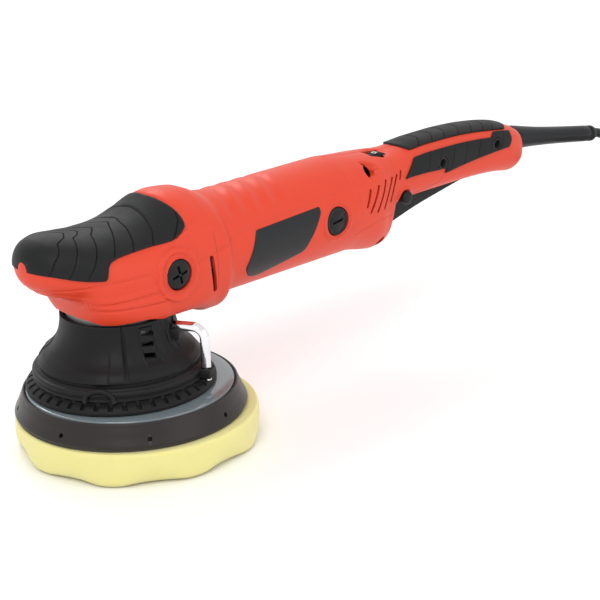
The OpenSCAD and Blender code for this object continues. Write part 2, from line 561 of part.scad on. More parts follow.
module armature_core() color("LightSlateGray") along_x(stator_x + 2) linear_extrude(stator_len - 4) difference() {
    circle(r = 17);
    circle(r = shaft_r + gap);
    for (j = [0 : 11]) rotate(j * 30) translate([10, -1.2]) square([5.6, 2.4]);
    for (j = [0 : 11]) rotate(j * 30) translate([14, -0.6]) square([6, 1.2]);
}

module armature_windings() color("Chocolate") along_x(stator_x - 6) {
    for (j = [0 : 11]) rotate(j * 30) translate([10.2, -1, 0]) cube([5, 2, stator_len + 12]);
    tube(15.2, shaft_r + 0.4, 7.8);
    translate([0, 0, stator_len + 6.2]) tube(15.2, shaft_r + 0.4, 7.4);
}

module commutator() color("DarkGoldenrod") along_x(comm_x) linear_extrude(16.4) difference() {
    circle(r = 12);
    circle(r = shaft_r + gap);
    for (j = [0 : 23]) rotate(j * 15) translate([10.6, -0.25]) square([3, 0.5]);
}

module fan() color("#d8d8d0") along_x(fan_x) difference() {
    union() {
        cylinder(r = 9, h = 13);
        cylinder(r = inner_r - 2, h = 1.6, $fn = 96);
        for (j = [0 : 10]) rotate(j * 360 / 11) translate([7, -0.7, 0]) rotate([0, 0, 14])
            cube([inner_r - 11, 1.5, 12]);
    }
    translate([0, 0, -1]) cylinder(r = shaft_r + gap, h = 20);
}

module front_bearing() color("Silver") along_x(front_x + gap) bearing(front_b);
module rear_bearing() color("Silver") along_x(rear_b_x) bearing(rear_b);

// Brushes press on the commutator from both sides, each in a square brass tube
module brush_holders() color("Goldenrod") for (s = [0, 1]) translate([brush_x, 0, axis_z]) mirror([0, s, 0])
    rotate([-90, 0, 0]) difference() {
        union() {
            translate([-4.6, -5.6, 13.4]) cube([9.2, 11.2, barrel_r - 8 - 13.4]);
            translate([0, 0, barrel_r - 9]) cylinder(r = 10.3 - gap, h = 3);
        }
        translate([-3.25 - slide_fit, -4.25 - slide_fit, 0]) cube([6.5 + 2 * slide_fit, 8.5 + 2 * slide_fit, 60]);
    }

module brushes() color("#333333") for (s = [0, 1]) translate([brush_x, 0, axis_z]) mirror([0, s, 0])
    rotate([-90, 0, 0]) difference() {
        translate([-3.25, -4.25, 10]) cube([6.5, 8.5, 10]);
        along = 12 + gap;
        rotate([0, 90, 0]) translate([0, 0, -5]) cylinder(r = along, h = 10);
    }

module brush_springs() color("Silver") for (s = [0, 1]) translate([brush_x, 0, axis_z]) mirror([0, s, 0])
    rotate([-90, 0, 0]) for (k = [0 : 2]) translate([0, 0, 20.5 + k * (barrel_r - 28) / 2]) rotate_extrude($fn = 32)
        translate([2.2, 0]) circle(r = 0.45, $fn = 16);

module brush_caps() color("#1d1d1f") for (s = [0, 1]) translate([brush_x, 0, axis_z]) mirror([0, s, 0])
    rotate([-90, 0, 0]) difference() {
        translate([0, 0, barrel_r - 6 + gap]) cylinder(r = 9.8, h = 5.8);
        translate([-5, -0.9, barrel_r - 1.6]) cube([10, 1.8, 4]);
    }

// ---- Rear handle -----------------------------------------------------------

handle_as = concat([0, 9, 18, 27], steps(36, 144, 12), [153, 162, 171, 180]);

// Half shell on side s (1 = right, -1 = left) with its openings
module handle_half(s) difference() {
    mirror([0, s > 0 ? 0 : 1, 0]) translate([0, gap / 2, 0]) patch(HANDLE, han_x, handle_as, -wall, 0);
    // dial window, trigger slot and cord way on the split line
    translate([dial_x - 10.8, dial_y - 5.3, axis_z + 20]) cube([21.6, 10.6, 20]);
    translate([trig_x - 1.5, -trig_w / 2 - 0.8, axis_z - 60]) cube([trig_len + 3, trig_w + 1.6, 60 - 4]);
    // vents through the front of the shell
    for (k = [0 : 5]) translate([seam_x + 12 + k * 5.2 * handle_k, s * 20 - 20, axis_z + 1 + k * 2.6])
        rotate([0, 16, 0]) translate([0, 0, -9 + k * 0.4]) cube([1.6, 40, 22 - k * 1.6]);
    if (s < 0) along_y(lock_x, -60, lock_z) cylinder(r = 5.2, h = 60);
    for (q = HANDLE_SCREWS) along_y(q[0], -60, q[1]) cylinder(r = 4.2, h = 120);
    along_y(pivot_x, -10.1, pivot_z) cylinder(r = 2 + gap, h = 20.2);
    boot_way();
}

// Room for the cord's boot through the rear end
module boot_way() translate([boot_x, 0, boot_z]) rotate([0, 90 + boot_tilt, 0]) {
    translate([0, 0, -14]) cylinder(r = 5.9, h = 40);
    translate([0, 0, 2.4]) cylinder(r = 9.7, h = 40);
}

// x and z of the handle's four screws
HANDLE_SCREWS = [[seam_x + 36 * handle_k, axis_z - 31], [seam_x + 104 * handle_k, axis_z + 12],
    [seam_x + 165 * handle_k, axis_z + 14], [seam_x + 22 * handle_k, axis_z + 24]];

// Each half with its share of the wall that holds the boot
module handle_left() color("Tomato") {
    handle_half(-1);
    handle_tail(-1);
}
module handle_right() color("Tomato") {
    handle_half(1);
    handle_tail(1);
}

module handle_tail(s) difference() {
    translate([seam_x + handle_len - 11.6, s > 0 ? gap / 2 : -9 - gap / 2, axis_z - 2]) cube([5.6, 9, 19]);
    boot_way();
}

module handle_screws() color("DimGray") for (q = HANDLE_SCREWS) translate([q[0], 0, q[1]]) rotate([90, 0, 0])
    translate([0, 0, 7]) screw(2, 16, 3.6, 2.4);

module top_grip() color("#262628") patch(HANDLE, concat([seam_x + 71 * handle_k], [for (v = [77, 84, 94, 106,
    118, 130, 142, 152, 162, 171, 180, 187]) seam_x + v * handle_k]), steps(-38, 38, 14), gap, grip_t);

module side_grip(s) mirror([0, s > 0 ? 0 : 1, 0]) difference() {
    patch(HANDLE, [for (v = [64, 74, 84, 94, 106, 118, 130, 142, 152, 162, 171, 180]) seam_x + v * handle_k],
        steps(58, 98, 8), gap, grip_t);
    for (q = HANDLE_SCREWS) along_y(q[0], -60, q[1]) cylinder(r = 4.2, h = 120);
}
module side_grip_left() color("#262628") side_grip(-1);
module side_grip_right() color("#262628") side_grip(1);

module trigger() color("#1f1f21") translate([0, trig_w / 2, 0]) rotate([90, 0, 0]) linear_extrude(trig_w) difference() {
    polygon([[trig_x + 1, axis_z - 9], [trig_x, axis_z - 24], [trig_x + 2, axis_z - 27.4], [trig_x + 6, axis_z - 27.2],
        [trig_x + 0.42 * trig_len, axis_z - 19.4], [trig_x + 0.75 * trig_len, axis_z - 14.4],
        [trig_x + trig_len, axis_z - 10.6], [trig_x + trig_len + 1, axis_z - 9], [pivot_x + 4, axis_z - 3.2],
        [pivot_x, axis_z - 2.4], [pivot_x - 4, axis_z - 4], [pivot_x - 10, axis_z - 9]]);
    translate([pivot_x, pivot_z]) circle(r = 2 + run_fit);
}

module trigger_pin() color("Silver") along_y(pivot_x, -10, pivot_z) cylinder(r = 2, h = 20);

module trigger_spring() color("Silver") for (k = [0 : 3]) translate([trig_x + 9, 0, axis_z - 8 + k * 2.4])
    rotate_extrude($fn = 32) translate([3, 0]) circle(r = 0.5, $fn = 16);

module switch_body() color("#2c2f36") difference() {
    translate([switch_x, -8, axis_z - 1]) cube([25.6, 16, 20]);
    translate([switch_x + 9, -4 - slide_fit, axis_z - 2]) cube([8, 8 + 2 * slide_fit, 8]);
}

module switch_plunger() color("Firebrick") translate([switch_x + 9 + slide_fit, -4, axis_z - 9 + gap])
    cube([8 - 2 * slide_fit, 8, 11]);

module lock_button() color("#1f1f21") along_y(lock_x, -lookup(lock_x, HANDLE[0]) - 2.6, lock_z) {
    cylinder(r = 4.8, h = 6);
    cylinder(r = 2, h = 14);
}

module speed_dial() color("#222222") translate([dial_x, dial_y - 4.6, axis_z + dial_z]) rotate([-90, 0, 0])
    linear_extrude(9.2) difference() {
        polygon([for (j = [0 : 71]) let (r = dial_r - (j % 2 == 0 ? 0 : 0.5)) [r * cos(j * 5), r * sin(j * 5)]]);
        circle(r = 2.5 + run_fit);
    }
dial_z = lookup(dial_x, HANDLE[1]) - dial_r + 0.3;

module control_board() color("DarkGreen") {
    translate([seam_x + 12, -14, axis_z - 22]) cube([30, 28, 1.6]);
    translate([seam_x + 16, -10, axis_z - 20.4]) cube([12, 14, 8]);
    translate([seam_x + 31, -8, axis_z - 20.4]) cylinder(r = 4, h = 10);
    along_y(dial_x, dial_y - 5.4, axis_z + dial_z) cylinder(r = 2.5, h = 12);
    translate([dial_x - 5, dial_y + 5, axis_z + dial_z - 6]) cube([10, 4, 12]);
    translate([dial_x - 2, dial_y + 5, axis_z - 21]) cube([3, 4, 21 + dial_z - 5]);
}

module cable_clamp() color("#303033") difference() {
    translate([boot_x - 30, -11, boot_z - 5]) cube([7, 22, 10.6]);
    translate([boot_x - 33, 0, boot_z]) rotate([0, 90, 0]) cylinder(d = cord_d + 2 * gap, h = 20);
}

// ---- Cord ------------------------------------------------------------------

module cord_boot() color("#1a1a1c") translate([boot_x, 0, boot_z]) rotate([0, 90 + boot_tilt, 0]) difference() {
    rotate_extrude() polygon([[0, -9], [8.6, -9], [8.6, -7.4], [5.6, -7], [5.6, 2], [9, 3], [9.2, 10], [7.6, 30],
        [6.7, 52], [6.4, 80], [6.4, 104], [5.8, 105], [5.8, 106.5], [6.3, 107.5], [6.3, boot_len], [0, boot_len]]);
    translate([0, 0, -20]) cylinder(d = cord_d + 2 * gap, h = 200);
}

cord_z0 = boot_z - 106 * sin(boot_tilt) - 0.2;
cord_dx = boot_x + 112 * cos(boot_tilt) - 508;
cord_path = concat(
    [[boot_x - 29, 0, boot_z], [boot_x - 21, 0, boot_z]],
    [for (t = [-12, 0, 20, 60, 105]) [boot_x + t * cos(boot_tilt), 0, boot_z - t * sin(boot_tilt)]],
    [for (q = [[524, 0, -4], [540, 1, -11], [555, 4, -23], [568, 8, -39], [580, 13, -57], [592, 16, -72],
        [605, 17, coil_h - 1 - cord_z0]]) [q[0] + cord_dx, q[1], q[2] + cord_z0]]);

module cord_tube() color("#161618") sweep(smooth(cord_path), [for (q = smooth(cord_path)) cord_d / 2], 10);
// Points half-way between neighbours added once, to round the path
function smooth(P) = concat([P[0]], [for (i = [1 : len(P) - 2]) each [
    (P[i - 1] + P[i]) / 2 * 0.5 + P[i] * 0.5, (P[i] + P[i + 1]) / 2 * 0.5 + P[i] * 0.5]], [P[len(P) - 1]]);

module cord_coil() color("#161618") {
    translate([coil_x, coil_y, 0]) rotate_extrude($fn = 96) polygon([
        [coil_r - coil_w / 2, 2], [coil_r - coil_w / 2 + 2, 0], [coil_r + coil_w / 2 - 2, 0], [coil_r + coil_w / 2, 2],
        [coil_r + coil_w / 2, coil_h - 2], [coil_r + coil_w / 2 - 2, coil_h], [coil_r - coil_w / 2 + 2, coil_h],
        [coil_r - coil_w / 2, coil_h - 2]]);
    translate([plug_x, coil_y - 12, plug_z]) rotate([90, 0, 0]) cylinder(d = cord_d, h = coil_y - 12 - plug_y - 3);
}

// Flat two-pin plug lying beside the coil
module plug_body() color("#1b1b1d") difference() {
    union() {
        translate([plug_x, plug_y, plug_z]) rotate([90, 0, 0]) cylinder(r1 = 5.6, r2 = 8, h = 14);
        translate([plug_x - 17.5, plug_y - 44, plug_z - 8]) cube([35, 32, 16]);
    }
    translate([plug_x, plug_y + 10, plug_z]) rotate([90, 0, 0]) cylinder(d = cord_d + 2 * gap, h = 14);
    for (s = [-1, 1]) translate([plug_x + s * 9.5, plug_y - 34, plug_z]) rotate([90, 0, 0]) cylinder(r = 3 + gap, h = 20);
}

module plug_pins() color("Silver") for (s = [-1, 1]) translate([plug_x + s * 9.5, plug_y - 34 - gap, plug_z])
    rotate([90, 0, 0]) union() {
        cylinder(r = 3, h = 10 - gap);
        cylinder(r = 2.4, h = 10 + 19);
    }

// Which piece to build, or "all"

foam_pad();
hook_layer();
backing_plate();
plate_disc();
pad_bolt();
pad_spindle();
orbit_bearings();
counterweight();
bell_shroud();
shroud_screws();
shroud_band();
serrated_ring();
hex_key();
spindle();
crown_gear();
pinion();
lower_bearing();
upper_bearing();
bearing_retainer();
gear_housing();
hood();
front_overmould();
side_plugs();
motor_housing();
motor_screws();
badges();
stator_core();
stator_windings();
armature_shaft();
armature_core();
armature_windings();
commutator();
fan();
front_bearing();
rear_bearing();
brush_holders();
brushes();
brush_springs();
brush_caps();
handle_left();
handle_right();
handle_screws();
top_grip();
side_grip_left();
side_grip_right();
trigger();
trigger_pin();
trigger_spring();
switch_body();
switch_plunger();
lock_button();
speed_dial();
control_board();
cable_clamp();
cord_boot();
cord_tube();
cord_coil();
plug_body();
plug_pins();
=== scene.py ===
"""Dual-action orbital polisher: moulded red shell, soft black grips, bell shroud, foam pad.

Lengths below are in millimetres and become metres when a mesh is made. X runs from the
front grip to the cord, Z is up, the pad works on z = 0 and the spindle turns about Z.
"""

import math

import bmesh
import bpy
import numpy as np
from mathutils import Matrix, Vector
from mathutils.geometry import delaunay_2d_cdt


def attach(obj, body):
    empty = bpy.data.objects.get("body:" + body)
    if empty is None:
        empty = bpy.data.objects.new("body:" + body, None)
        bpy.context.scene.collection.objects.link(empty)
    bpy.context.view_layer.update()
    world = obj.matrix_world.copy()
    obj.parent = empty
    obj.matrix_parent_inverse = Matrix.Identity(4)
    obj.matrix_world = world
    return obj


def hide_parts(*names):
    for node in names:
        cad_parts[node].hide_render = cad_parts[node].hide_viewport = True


MM = 0.001
AXIS_Z = 114.0
SEAM_X = 187.0
BARREL_R = 34.6
WALL = 2.6
PLUG = (20.0, 115.5)
BRUSH_X = 167.0
PAD_C = (5.52, -7.63)
ORBIT_C = (3.0, -5.196)
HEAD_Z = 90.0
KEY_DIR = math.radians(-61)
BOOT = Vector((386.0, 0.0, 122.6))
BOOT_TILT = math.radians(9.5)
CORD_D = 7.6
COIL_C = (605.0, -25.0)
PLUG_END = (647.0, -87.0, 8.0)
PIN_GAP = 19.0
PIN_ROOT_R = 3.04
HANDLE_SCREWS = [(223, 83), (291, 126), (352, 128), (209, 138)]
LOCK = (250.0, 109.5)

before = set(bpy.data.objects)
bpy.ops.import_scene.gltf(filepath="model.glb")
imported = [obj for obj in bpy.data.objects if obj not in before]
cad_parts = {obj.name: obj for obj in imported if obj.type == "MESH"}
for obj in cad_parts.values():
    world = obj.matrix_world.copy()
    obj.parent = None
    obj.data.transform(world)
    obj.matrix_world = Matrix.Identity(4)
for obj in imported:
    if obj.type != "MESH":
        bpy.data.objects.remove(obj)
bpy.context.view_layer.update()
scene = bpy.context.scene


# ---- Camera -----------------------------------------------------------------
def make_camera():
    data = bpy.data.cameras.new("camera")
    data.lens = 104.33
    data.sensor_width = 36
    data.clip_end = 20
    cam = bpy.data.objects.new("camera", data)
    scene.collection.objects.link(cam)
    right = Vector((0.71786, -0.69559, -0.02898))
    up = Vector((0.25795, 0.22708, 0.93909))
    ahead = Vector((0.64664, 0.68161, -0.34244))
    turn = Matrix((right, up, -ahead)).transposed().to_4x4()
    cam.matrix_world = Matrix.Translation((-0.63317, -0.83770, 0.47099)) @ turn
    scene.camera = cam


make_camera()


# ---- Cord -------------------------------------------------------------------
def boot_point(t, side=0.0, lift=0.0):
    """Point t along the boot from the handle's end, moved sideways and up from its axis."""
    c, s = math.cos(BOOT_TILT), math.sin(BOOT_TILT)
    return (BOOT.x + t * c + lift * s, side, BOOT.z - t * s + lift * c)


def cord_points():
    z0 = BOOT.z - 106 * math.sin(BOOT_TILT) - 0.2
    dx = BOOT.x + 112 * math.cos(BOOT_TILT) - 508
    pts = [boot_point(t) for t in (6, 22, 40, 60, 82, 105)]
    for x, y, z in [(516, 0.2, -2), (524, 0.4, -5), (532, 0.8, -8.6), (540, 1.4, -13), (547.5, 2.4, -18.6),
                    (555, 3.8, -25), (561.5, 5.6, -32.5), (568, 7.8, -41), (574, 10, -49.5), (580, 12.4, -58),
                    (586, 14.4, -66), (592.5, 16, -73.5), (600, 16.9, -79.8)]:
        pts.append((x + dx, y, z + z0))
    pitch, low, rise = 7.75, 3.86, 7.66
    radii = [42 - pitch, 42, 42 + pitch]
    slots = [(1, 2), (2, 2), (2, 1), (1, 1), (0, 1), (0, 0), (1, 0), (2, 0), (2, 0)]
    per_turn = 20
    for k in range(len(slots) - 1):
        for j in range(per_turn):
            u = j / per_turn
            w = min(max((u - 0.78) / 0.2, 0), 1)
            w = w * w * (3 - 2 * w)
            (c0, l0), (c1, l1) = slots[k], slots[k + 1]
            r = radii[c0] + (radii[c1] - radii[c0]) * w
            z = low + rise * (l0 + (l1 - l0) * w)
            a = math.radians(90 - 360 * (k + u))
            pts.append((COIL_C[0] + r * math.cos(a), COIL_C[1] + r * math.sin(a), z))
    for deg in (90, 72, 54, 36, 18, 2, -12):
        a = math.radians(deg)
        pts.append((COIL_C[0] + radii[2] * math.cos(a), COIL_C[1] + radii[2] * math.sin(a),
                    low + (0 if deg > 0 else 0.4)))
    pts += [(650.6, -50, 5), (648.2, -64, 6.4), (647.2, -77, 7.6), (647, -88, 8)]
    return pts


def make_cord():
    pts = cord_points()
    curve = bpy.data.curves.new("cord", "CURVE")
    curve.dimensions = "3D"
    curve.bevel_depth = CORD_D / 2 * MM
    curve.bevel_resolution = 5
    curve.resolution_u = 4
    curve.use_fill_caps = True
    line = curve.splines.new("BEZIER")
    line.bezier_points.add(len(pts) - 1)
    for b, p in zip(line.bezier_points, pts):
        b.co = Vector(p) * MM
        b.handle_left_type = b.handle_right_type = "AUTO"
    obj = bpy.data.objects.new("cord", curve)
    scene.collection.objects.link(obj)
    return obj


cord = make_cord()


# ---- Numbers and sections ---------------------------------------------------
def pchip(xs, ys):
    """Smooth curve through a table that never overshoots it."""
    xs, ys = np.asarray(xs, float), np.asarray(ys, float)
    h = np.diff(xs)
    d = np.diff(ys) / h
    m = np.zeros_like(ys)
    m[0], m[-1] = d[0], d[-1]
    for i in range(1, len(xs) - 1):
        if d[i - 1] * d[i] > 0:
            w1, w2 = 2 * h[i] + h[i - 1], h[i] + 2 * h[i - 1]
            m[i] = (w1 + w2) / (w1 / d[i - 1] + w2 / d[i])

    def f(x):
        x = np.clip(x, xs[0], xs[-1])
        i = np.clip(np.searchsorted(xs, x, side="right") - 1, 0, len(xs) - 2)
        t = (x - xs[i]) / h[i]
        a = (1 + 2 * t) * (1 - t) ** 2
        return (a * ys[i] + t * (1 - t) ** 2 * h[i] * m[i] + (1 - a) * ys[i + 1]
                + t * t * (t - 1) * h[i] * m[i + 1])
    return f


def ramp(v, a, b):
    t = np.clip((v - a) / (b - a), 0, 1)
    return t * t * (3 - 2 * t)


def ridge(dist, half, soft):
    """1 within half of a line, falling to 0 over soft beyond it."""
    return 1 - ramp(np.abs(dist), half, half + soft)


class Loft:
    """Section tables against x: half width, top, level of the widest point, bottom, squareness."""

    def __init__(self, xs, wd, top, mid, bottom, n_top, n_bot, nose=None):
        self.nose = nose
        k = self.key(np.asarray(xs, float))
        self.parts = [pchip(k, v) for v in (wd, top, mid, bottom, n_top, n_bot)]

    def key(self, x):
        return x if self.nose is None else np.sqrt(np.maximum(x - self.nose, 0))

    def point(self, x, a, d=0.0):
        """Points at x and angle a in degrees from straight up towards +Y, d outside."""
        x, a, d = np.broadcast_arrays(np.asarray(x, float), np.asarray(a, float), np.asarray(d, float))
        w, top, mid, bot, nt, nb = [f(self.key(x)) for f in self.parts]
        s, c = np.sin(np.radians(a)), np.cos(np.radians(a))
        n = np.where(c >= 0, nt, nb)
        h = np.where(c >= 0, top - mid, mid - bot) + d
        k = (np.abs(s) ** n + np.abs(c) ** n) ** (-1 / n)
        return np.stack([x, np.maximum(w + d, 0) * s * k, AXIS_Z + mid + h * c * k], -1)

    def angle_at(self, x, z):
        """Angle between 0 and 180 where the section at x has height z."""
        lo, hi = np.zeros_like(x), np.full_like(x, 180.0)
        for _ in range(30):
            m = (lo + hi) / 2
            above = self.point(x, m)[..., 2] > z
            lo, hi = np.where(above, m, lo), np.where(above, hi, m)
        return (lo + hi) / 2


HOOD = Loft(
    [-69.6, -69, -67, -63, -57, -49, -43, -40, -37, -34, -30, -20, -8, 4, 14, 22, 30, 40, 44.5, 48, 51, 53.7],
    [0, 5, 11.5, 18, 23.5, 28, 30.2, 31.2, 32, 32.8, 34, 36.6, 38.6, 39.6, 39.8, 39.8, 39.6, 39.3, 39.2, 39, 38.9,
     38.8],
    [18, 24, 28, 31.5, 33.8, 34.2, 33.6, 33.2, 32.8, 32.5, 32.1, 31.2, 31.4, 33, 36.2, 40, 43.6, 45.2, 45.1, 44.9,
     44.5, 44],
    [18, 18, 18, 17, 16, 14, 13, 12, 10.6, 9, 7, 4, 2, 1, 0, 0, 0, 0, 0, 0, 0, 0],
    [18, 12, 8, 4, 0.4, -3, -5.4, -8.4, -16.5, -22.4, -25.6, -27.4, -27.8, -28, -28, -28.2, -28.8, -29.8, -31, -34,
     -36.6, -37.8],
    [2, 2, 2, 2.1, 2.2, 2.4, 2.5, 2.5, 2.5, 2.5, 2.5, 2.4, 2.3, 2.2, 2.2, 2.1, 2.1, 2.1, 2.1, 2.1, 2.1, 2.1],
    [2, 2, 2, 2, 2.1, 2.2, 2.3, 2.4, 2.3, 2.5, 3.0, 4.2, 5.6, 6.6, 7, 7, 6.5, 6, 5.2, 4, 3.3, 3], nose=-69.6)
MOTOR = Loft(
    [54.04, 58, 62, 65.5, 67.5, 69.2, 71, 76, 82, 120, 186.96],
    [38.7, 38.6, 38.5, 38.1, 37.2, 35.6, 34.9, 34.6, 34.6, 34.6, 34.6],
    [43.9, 42.6, 40.8, 38.8, 37.8, 37.0, 36.3, 35.2, 34.6, 34.6, 34.6],
    [0] * 11,
    [-38.4, -38.8, -38.9, -38.7, -37.8, -36.0, -35, -34.6, -34.6, -34.6, -34.6],
    [2.1, 2.1, 2.1, 2.05, 2, 2, 2, 2, 2, 2, 2],
    [2.9, 2.8, 2.8, 2.7, 2.5, 2.2, 2.1, 2, 2, 2, 2])
HANDLE = Loft(
    [SEAM_X + v for v in (0, 6, 14, 24, 32, 39, 46, 49, 53, 60, 74, 94, 118, 142, 162, 180, 192, 199, 203, 205)],
    [34.5, 34.3, 33.5, 32, 30, 27.4, 25, 24, 23, 21.5, 20.1, 19.6, 19.6, 19.9, 20.4, 20.2, 18.6, 16.4, 13.6, 10.6],
    [34.6, 34, 33, 31.8, 31, 30.4, 29.8, 29.5, 29, 28.4, 29, 30.2, 30.4, 29.4, 27.4, 24.6, 21.6, 18.6, 15.5, 12.5],
    [0, 0, 0, 0, 0, 1, 2, 4, 6, 8, 9, 9.5, 9.5, 9, 8, 6.5, 5, 3.5, 3, 3],
    [-34.6, -34.6, -35.5, -37.5, -38.5, -38.5, -36, -26, -13, -10.5, -10, -10, -10, -10.2, -11, -13, -15, -14,
     -11.5, -8],
    [2, 2, 2.1, 2.3, 2.5, 2.6, 2.7, 2.7, 2.7, 2.7, 2.7, 2.7, 2.7, 2.7, 2.7, 2.7, 2.6, 2.5, 2.4, 2.2],
    [2, 2, 2.1, 2.3, 2.5, 2.6, 2.7, 2.7, 2.7, 2.7, 2.7, 2.7, 2.7, 2.7, 2.7, 2.7, 2.6, 2.5, 2.4, 2.2])


# ---- Mesh makers ------------------------------------------------------------
def add_mesh(name, verts, faces, sharp=40, weld=0.0):
    mesh = bpy.data.meshes.new(name)
    mesh.from_pydata([tuple(v) for v in np.asarray(verts, float) * MM], [], [tuple(int(i) for i in f) for f in faces])
    bm = bmesh.new()
    bm.from_mesh(mesh)
    if weld:
        bmesh.ops.remove_doubles(bm, verts=bm.verts, dist=weld * MM)
    bmesh.ops.dissolve_degenerate(bm, edges=bm.edges, dist=1e-8)
    bmesh.ops.recalc_face_normals(bm, faces=bm.faces)
    bm.to_mesh(mesh)
    bm.free()
    obj = bpy.data.objects.new(name, mesh)
    scene.collection.objects.link(obj)
    shade(obj, sharp)
    return obj


def shade(obj, sharp=40):
    """Smooth shading with edges kept sharp where faces meet at more than sharp degrees."""
    bm = bmesh.new()
    bm.from_mesh(obj.data)
    limit = math.radians(sharp)
    for f in bm.faces:
        f.smooth = True
    for e in bm.edges:
        if len(e.link_faces) == 2:
            e.smooth = e.calc_face_angle(0) < limit
    bm.to_mesh(obj.data)
    bm.free()


def grid(nu, nv, wrap=False, base=0, flip=False):
    out = []
    for i in range(nu - 1):
        for j in range(nv if wrap else nv - 1):
            k = (j + 1) % nv
            q = (i * nv + j, i * nv + k, (i + 1) * nv + k, (i + 1) * nv + j)
            out.append(tuple(base + v for v in (q[::-1] if flip else q)))
    return out


def spaced(*stops):
    """Numbers from stop to stop with the step given between them: a, step, b, step, c ..."""
    out = [stops[0]]
    for step, end in zip(stops[1::2], stops[2::2]):
        n = max(1, int(round((end - out[-1]) / step)))
        out += list(np.linspace(out[-1], end, n + 1)[1:])
    return np.array(out)


def shell(name, loft, xs, angles, wrap, push, wall=WALL, open_nose=False, sharp=40):
    """Closed shell on a loft. push(x, a, p) says how far the outer face stands out."""
    X, A = np.meshgrid(xs, angles, indexing="ij")
    base = loft.point(X, A)
    outer = loft.point(X, A, push(X, A, base))
    shrink = X.copy()
    if open_nose:
        shrink = xs[0] + wall + (X - xs[0]) * (xs[-1] - xs[0] - wall) / (xs[-1] - xs[0])
    inner = loft.point(shrink, A, -wall)
    nu, nv = X.shape
    verts = np.concatenate([outer.reshape(-1, 3), inner.reshape(-1, 3)])
    o = nu * nv
    faces = grid(nu, nv, wrap) + grid(nu, nv, wrap, o, True)
    rows = [nu - 1] if open_nose else [0, nu - 1]
    if open_nose:
        faces.append(tuple(o + j for j in range(nv)))
    for i in rows:
        for j in range(nv if wrap else nv - 1):
            k = (j + 1) % nv
            faces.append((i * nv + j, i * nv + k, o + i * nv + k, o + i * nv + j))
    if not wrap:
        for j in (0, nv - 1):
            faces += [(i * nv + j, (i + 1) * nv + j, o + (i + 1) * nv + j, o + i * nv + j) for i in range(nu - 1)]
    return add_mesh(name, verts, faces, sharp, weld=0.002)


def revolve(name, profile, steps=180, centre=(0, 0), closed=True, push=None, sharp=35, arc=None):
    """Profile of (r, z) turned about Z. push(r, z, a) gives a new (r, z)."""
    prof = np.asarray(profile, float)
    a = np.linspace(0, 2 * math.pi, steps, endpoint=False) if arc is None else np.linspace(*arc, steps)
    R, Aa = np.meshgrid(prof[:, 0], a, indexing="ij")
    Z = np.meshgrid(prof[:, 1], a, indexing="ij")[0]
    if push:
        R, Z = push(R, Z, Aa)
    P = np.stack([centre[0] + R * np.cos(Aa), centre[1] + R * np.sin(Aa), Z], -1)
    n, m = len(prof), steps
    faces = grid(n, m, arc is None)
    if closed:
        faces += [((n - 1) * m + j, (n - 1) * m + (j + 1) % m, (j + 1) % m, j) for j in range(m)]
    return add_mesh(name, P.reshape(-1, 3), faces, sharp, weld=0.002)


def rounded(points, radii, n=5, closed=True):
    """Polyline with its corners rounded; radii is one number or one per corner."""
    P = [np.asarray(p, float) for p in points]
    R = [radii] * len(P) if np.isscalar(radii) else list(radii)
    out = []
    for i, p in enumerate(P):
        if R[i] <= 0 or (not closed and i in (0, len(P) - 1)):
            out.append(p)
            continue
        a, b = P[i - 1] - p, P[(i + 1) % len(P)] - p
        la, lb = np.linalg.norm(a), np.linalg.norm(b)
        cut = min(R[i], 0.48 * la, 0.48 * lb)
        s, e = p + a / la * cut, p + b / lb * cut
        for t in np.linspace(0, 1, n):
            out.append((1 - t) ** 2 * s + 2 * t * (1 - t) * p + t * t * e)
    return np.array(out)


def resample(line, step, closed=False):
    line = np.asarray(line, float)
    if closed:
        line = np.vstack([line, line[:1]])
    seg = np.linalg.norm(np.diff(line, axis=0), axis=1)
    at = np.concatenate([[0], np.cumsum(seg)])
    n = max(2, int(math.ceil(at[-1] / step)))
    want = np.linspace(0, at[-1], n + 1)
    want = np.unique(np.concatenate([want, at])) if closed else want
    want = want[np.concatenate([[True], np.diff(want) > step * 0.2])]
    out = np.stack([np.interp(want, at, line[:, k]) for k in range(line.shape[1])], 1)
    if closed and np.linalg.norm(out[-1] - out[0]) < step * 0.3:
        out = out[:-1]
    return out


def dist_to(points, line, closed=False):
    line = np.asarray(line, float)
    a, b = line, np.roll(line, -1, axis=0)
    if not closed:
        a, b = a[:-1], b[:-1]
    best = np.full(len(points), 1e9)
    for p, q in zip(a, b):
        d = q - p
        t = np.clip(((points - p) @ d) / max(d @ d, 1e-12), 0, 1)
        best = np.minimum(best, np.linalg.norm(points - (p + t[:, None] * d), axis=1))
    return best


def inside(points, poly):
    x, y = points[:, 0], points[:, 1]
    hit = np.zeros(len(points), bool)
    for (x0, y0), (x1, y1) in zip(poly, np.roll(poly, -1, axis=0)):
        cross = (y0 > y) != (y1 > y)
        hit ^= cross & (x < (x1 - x0) * (y - y0) / (y1 - y0 + 1e-12) + x0)
    return hit


def offset_line(line, d, closed):
    line = np.asarray(line, float)
    if closed:
        t = np.roll(line, -1, axis=0) - np.roll(line, 1, axis=0)
    else:
        t = np.gradient(line, axis=0)
    t /= np.maximum(np.linalg.norm(t, axis=1), 1e-9)[:, None]
    return line + d * np.stack([-t[:, 1], t[:, 0]], 1)


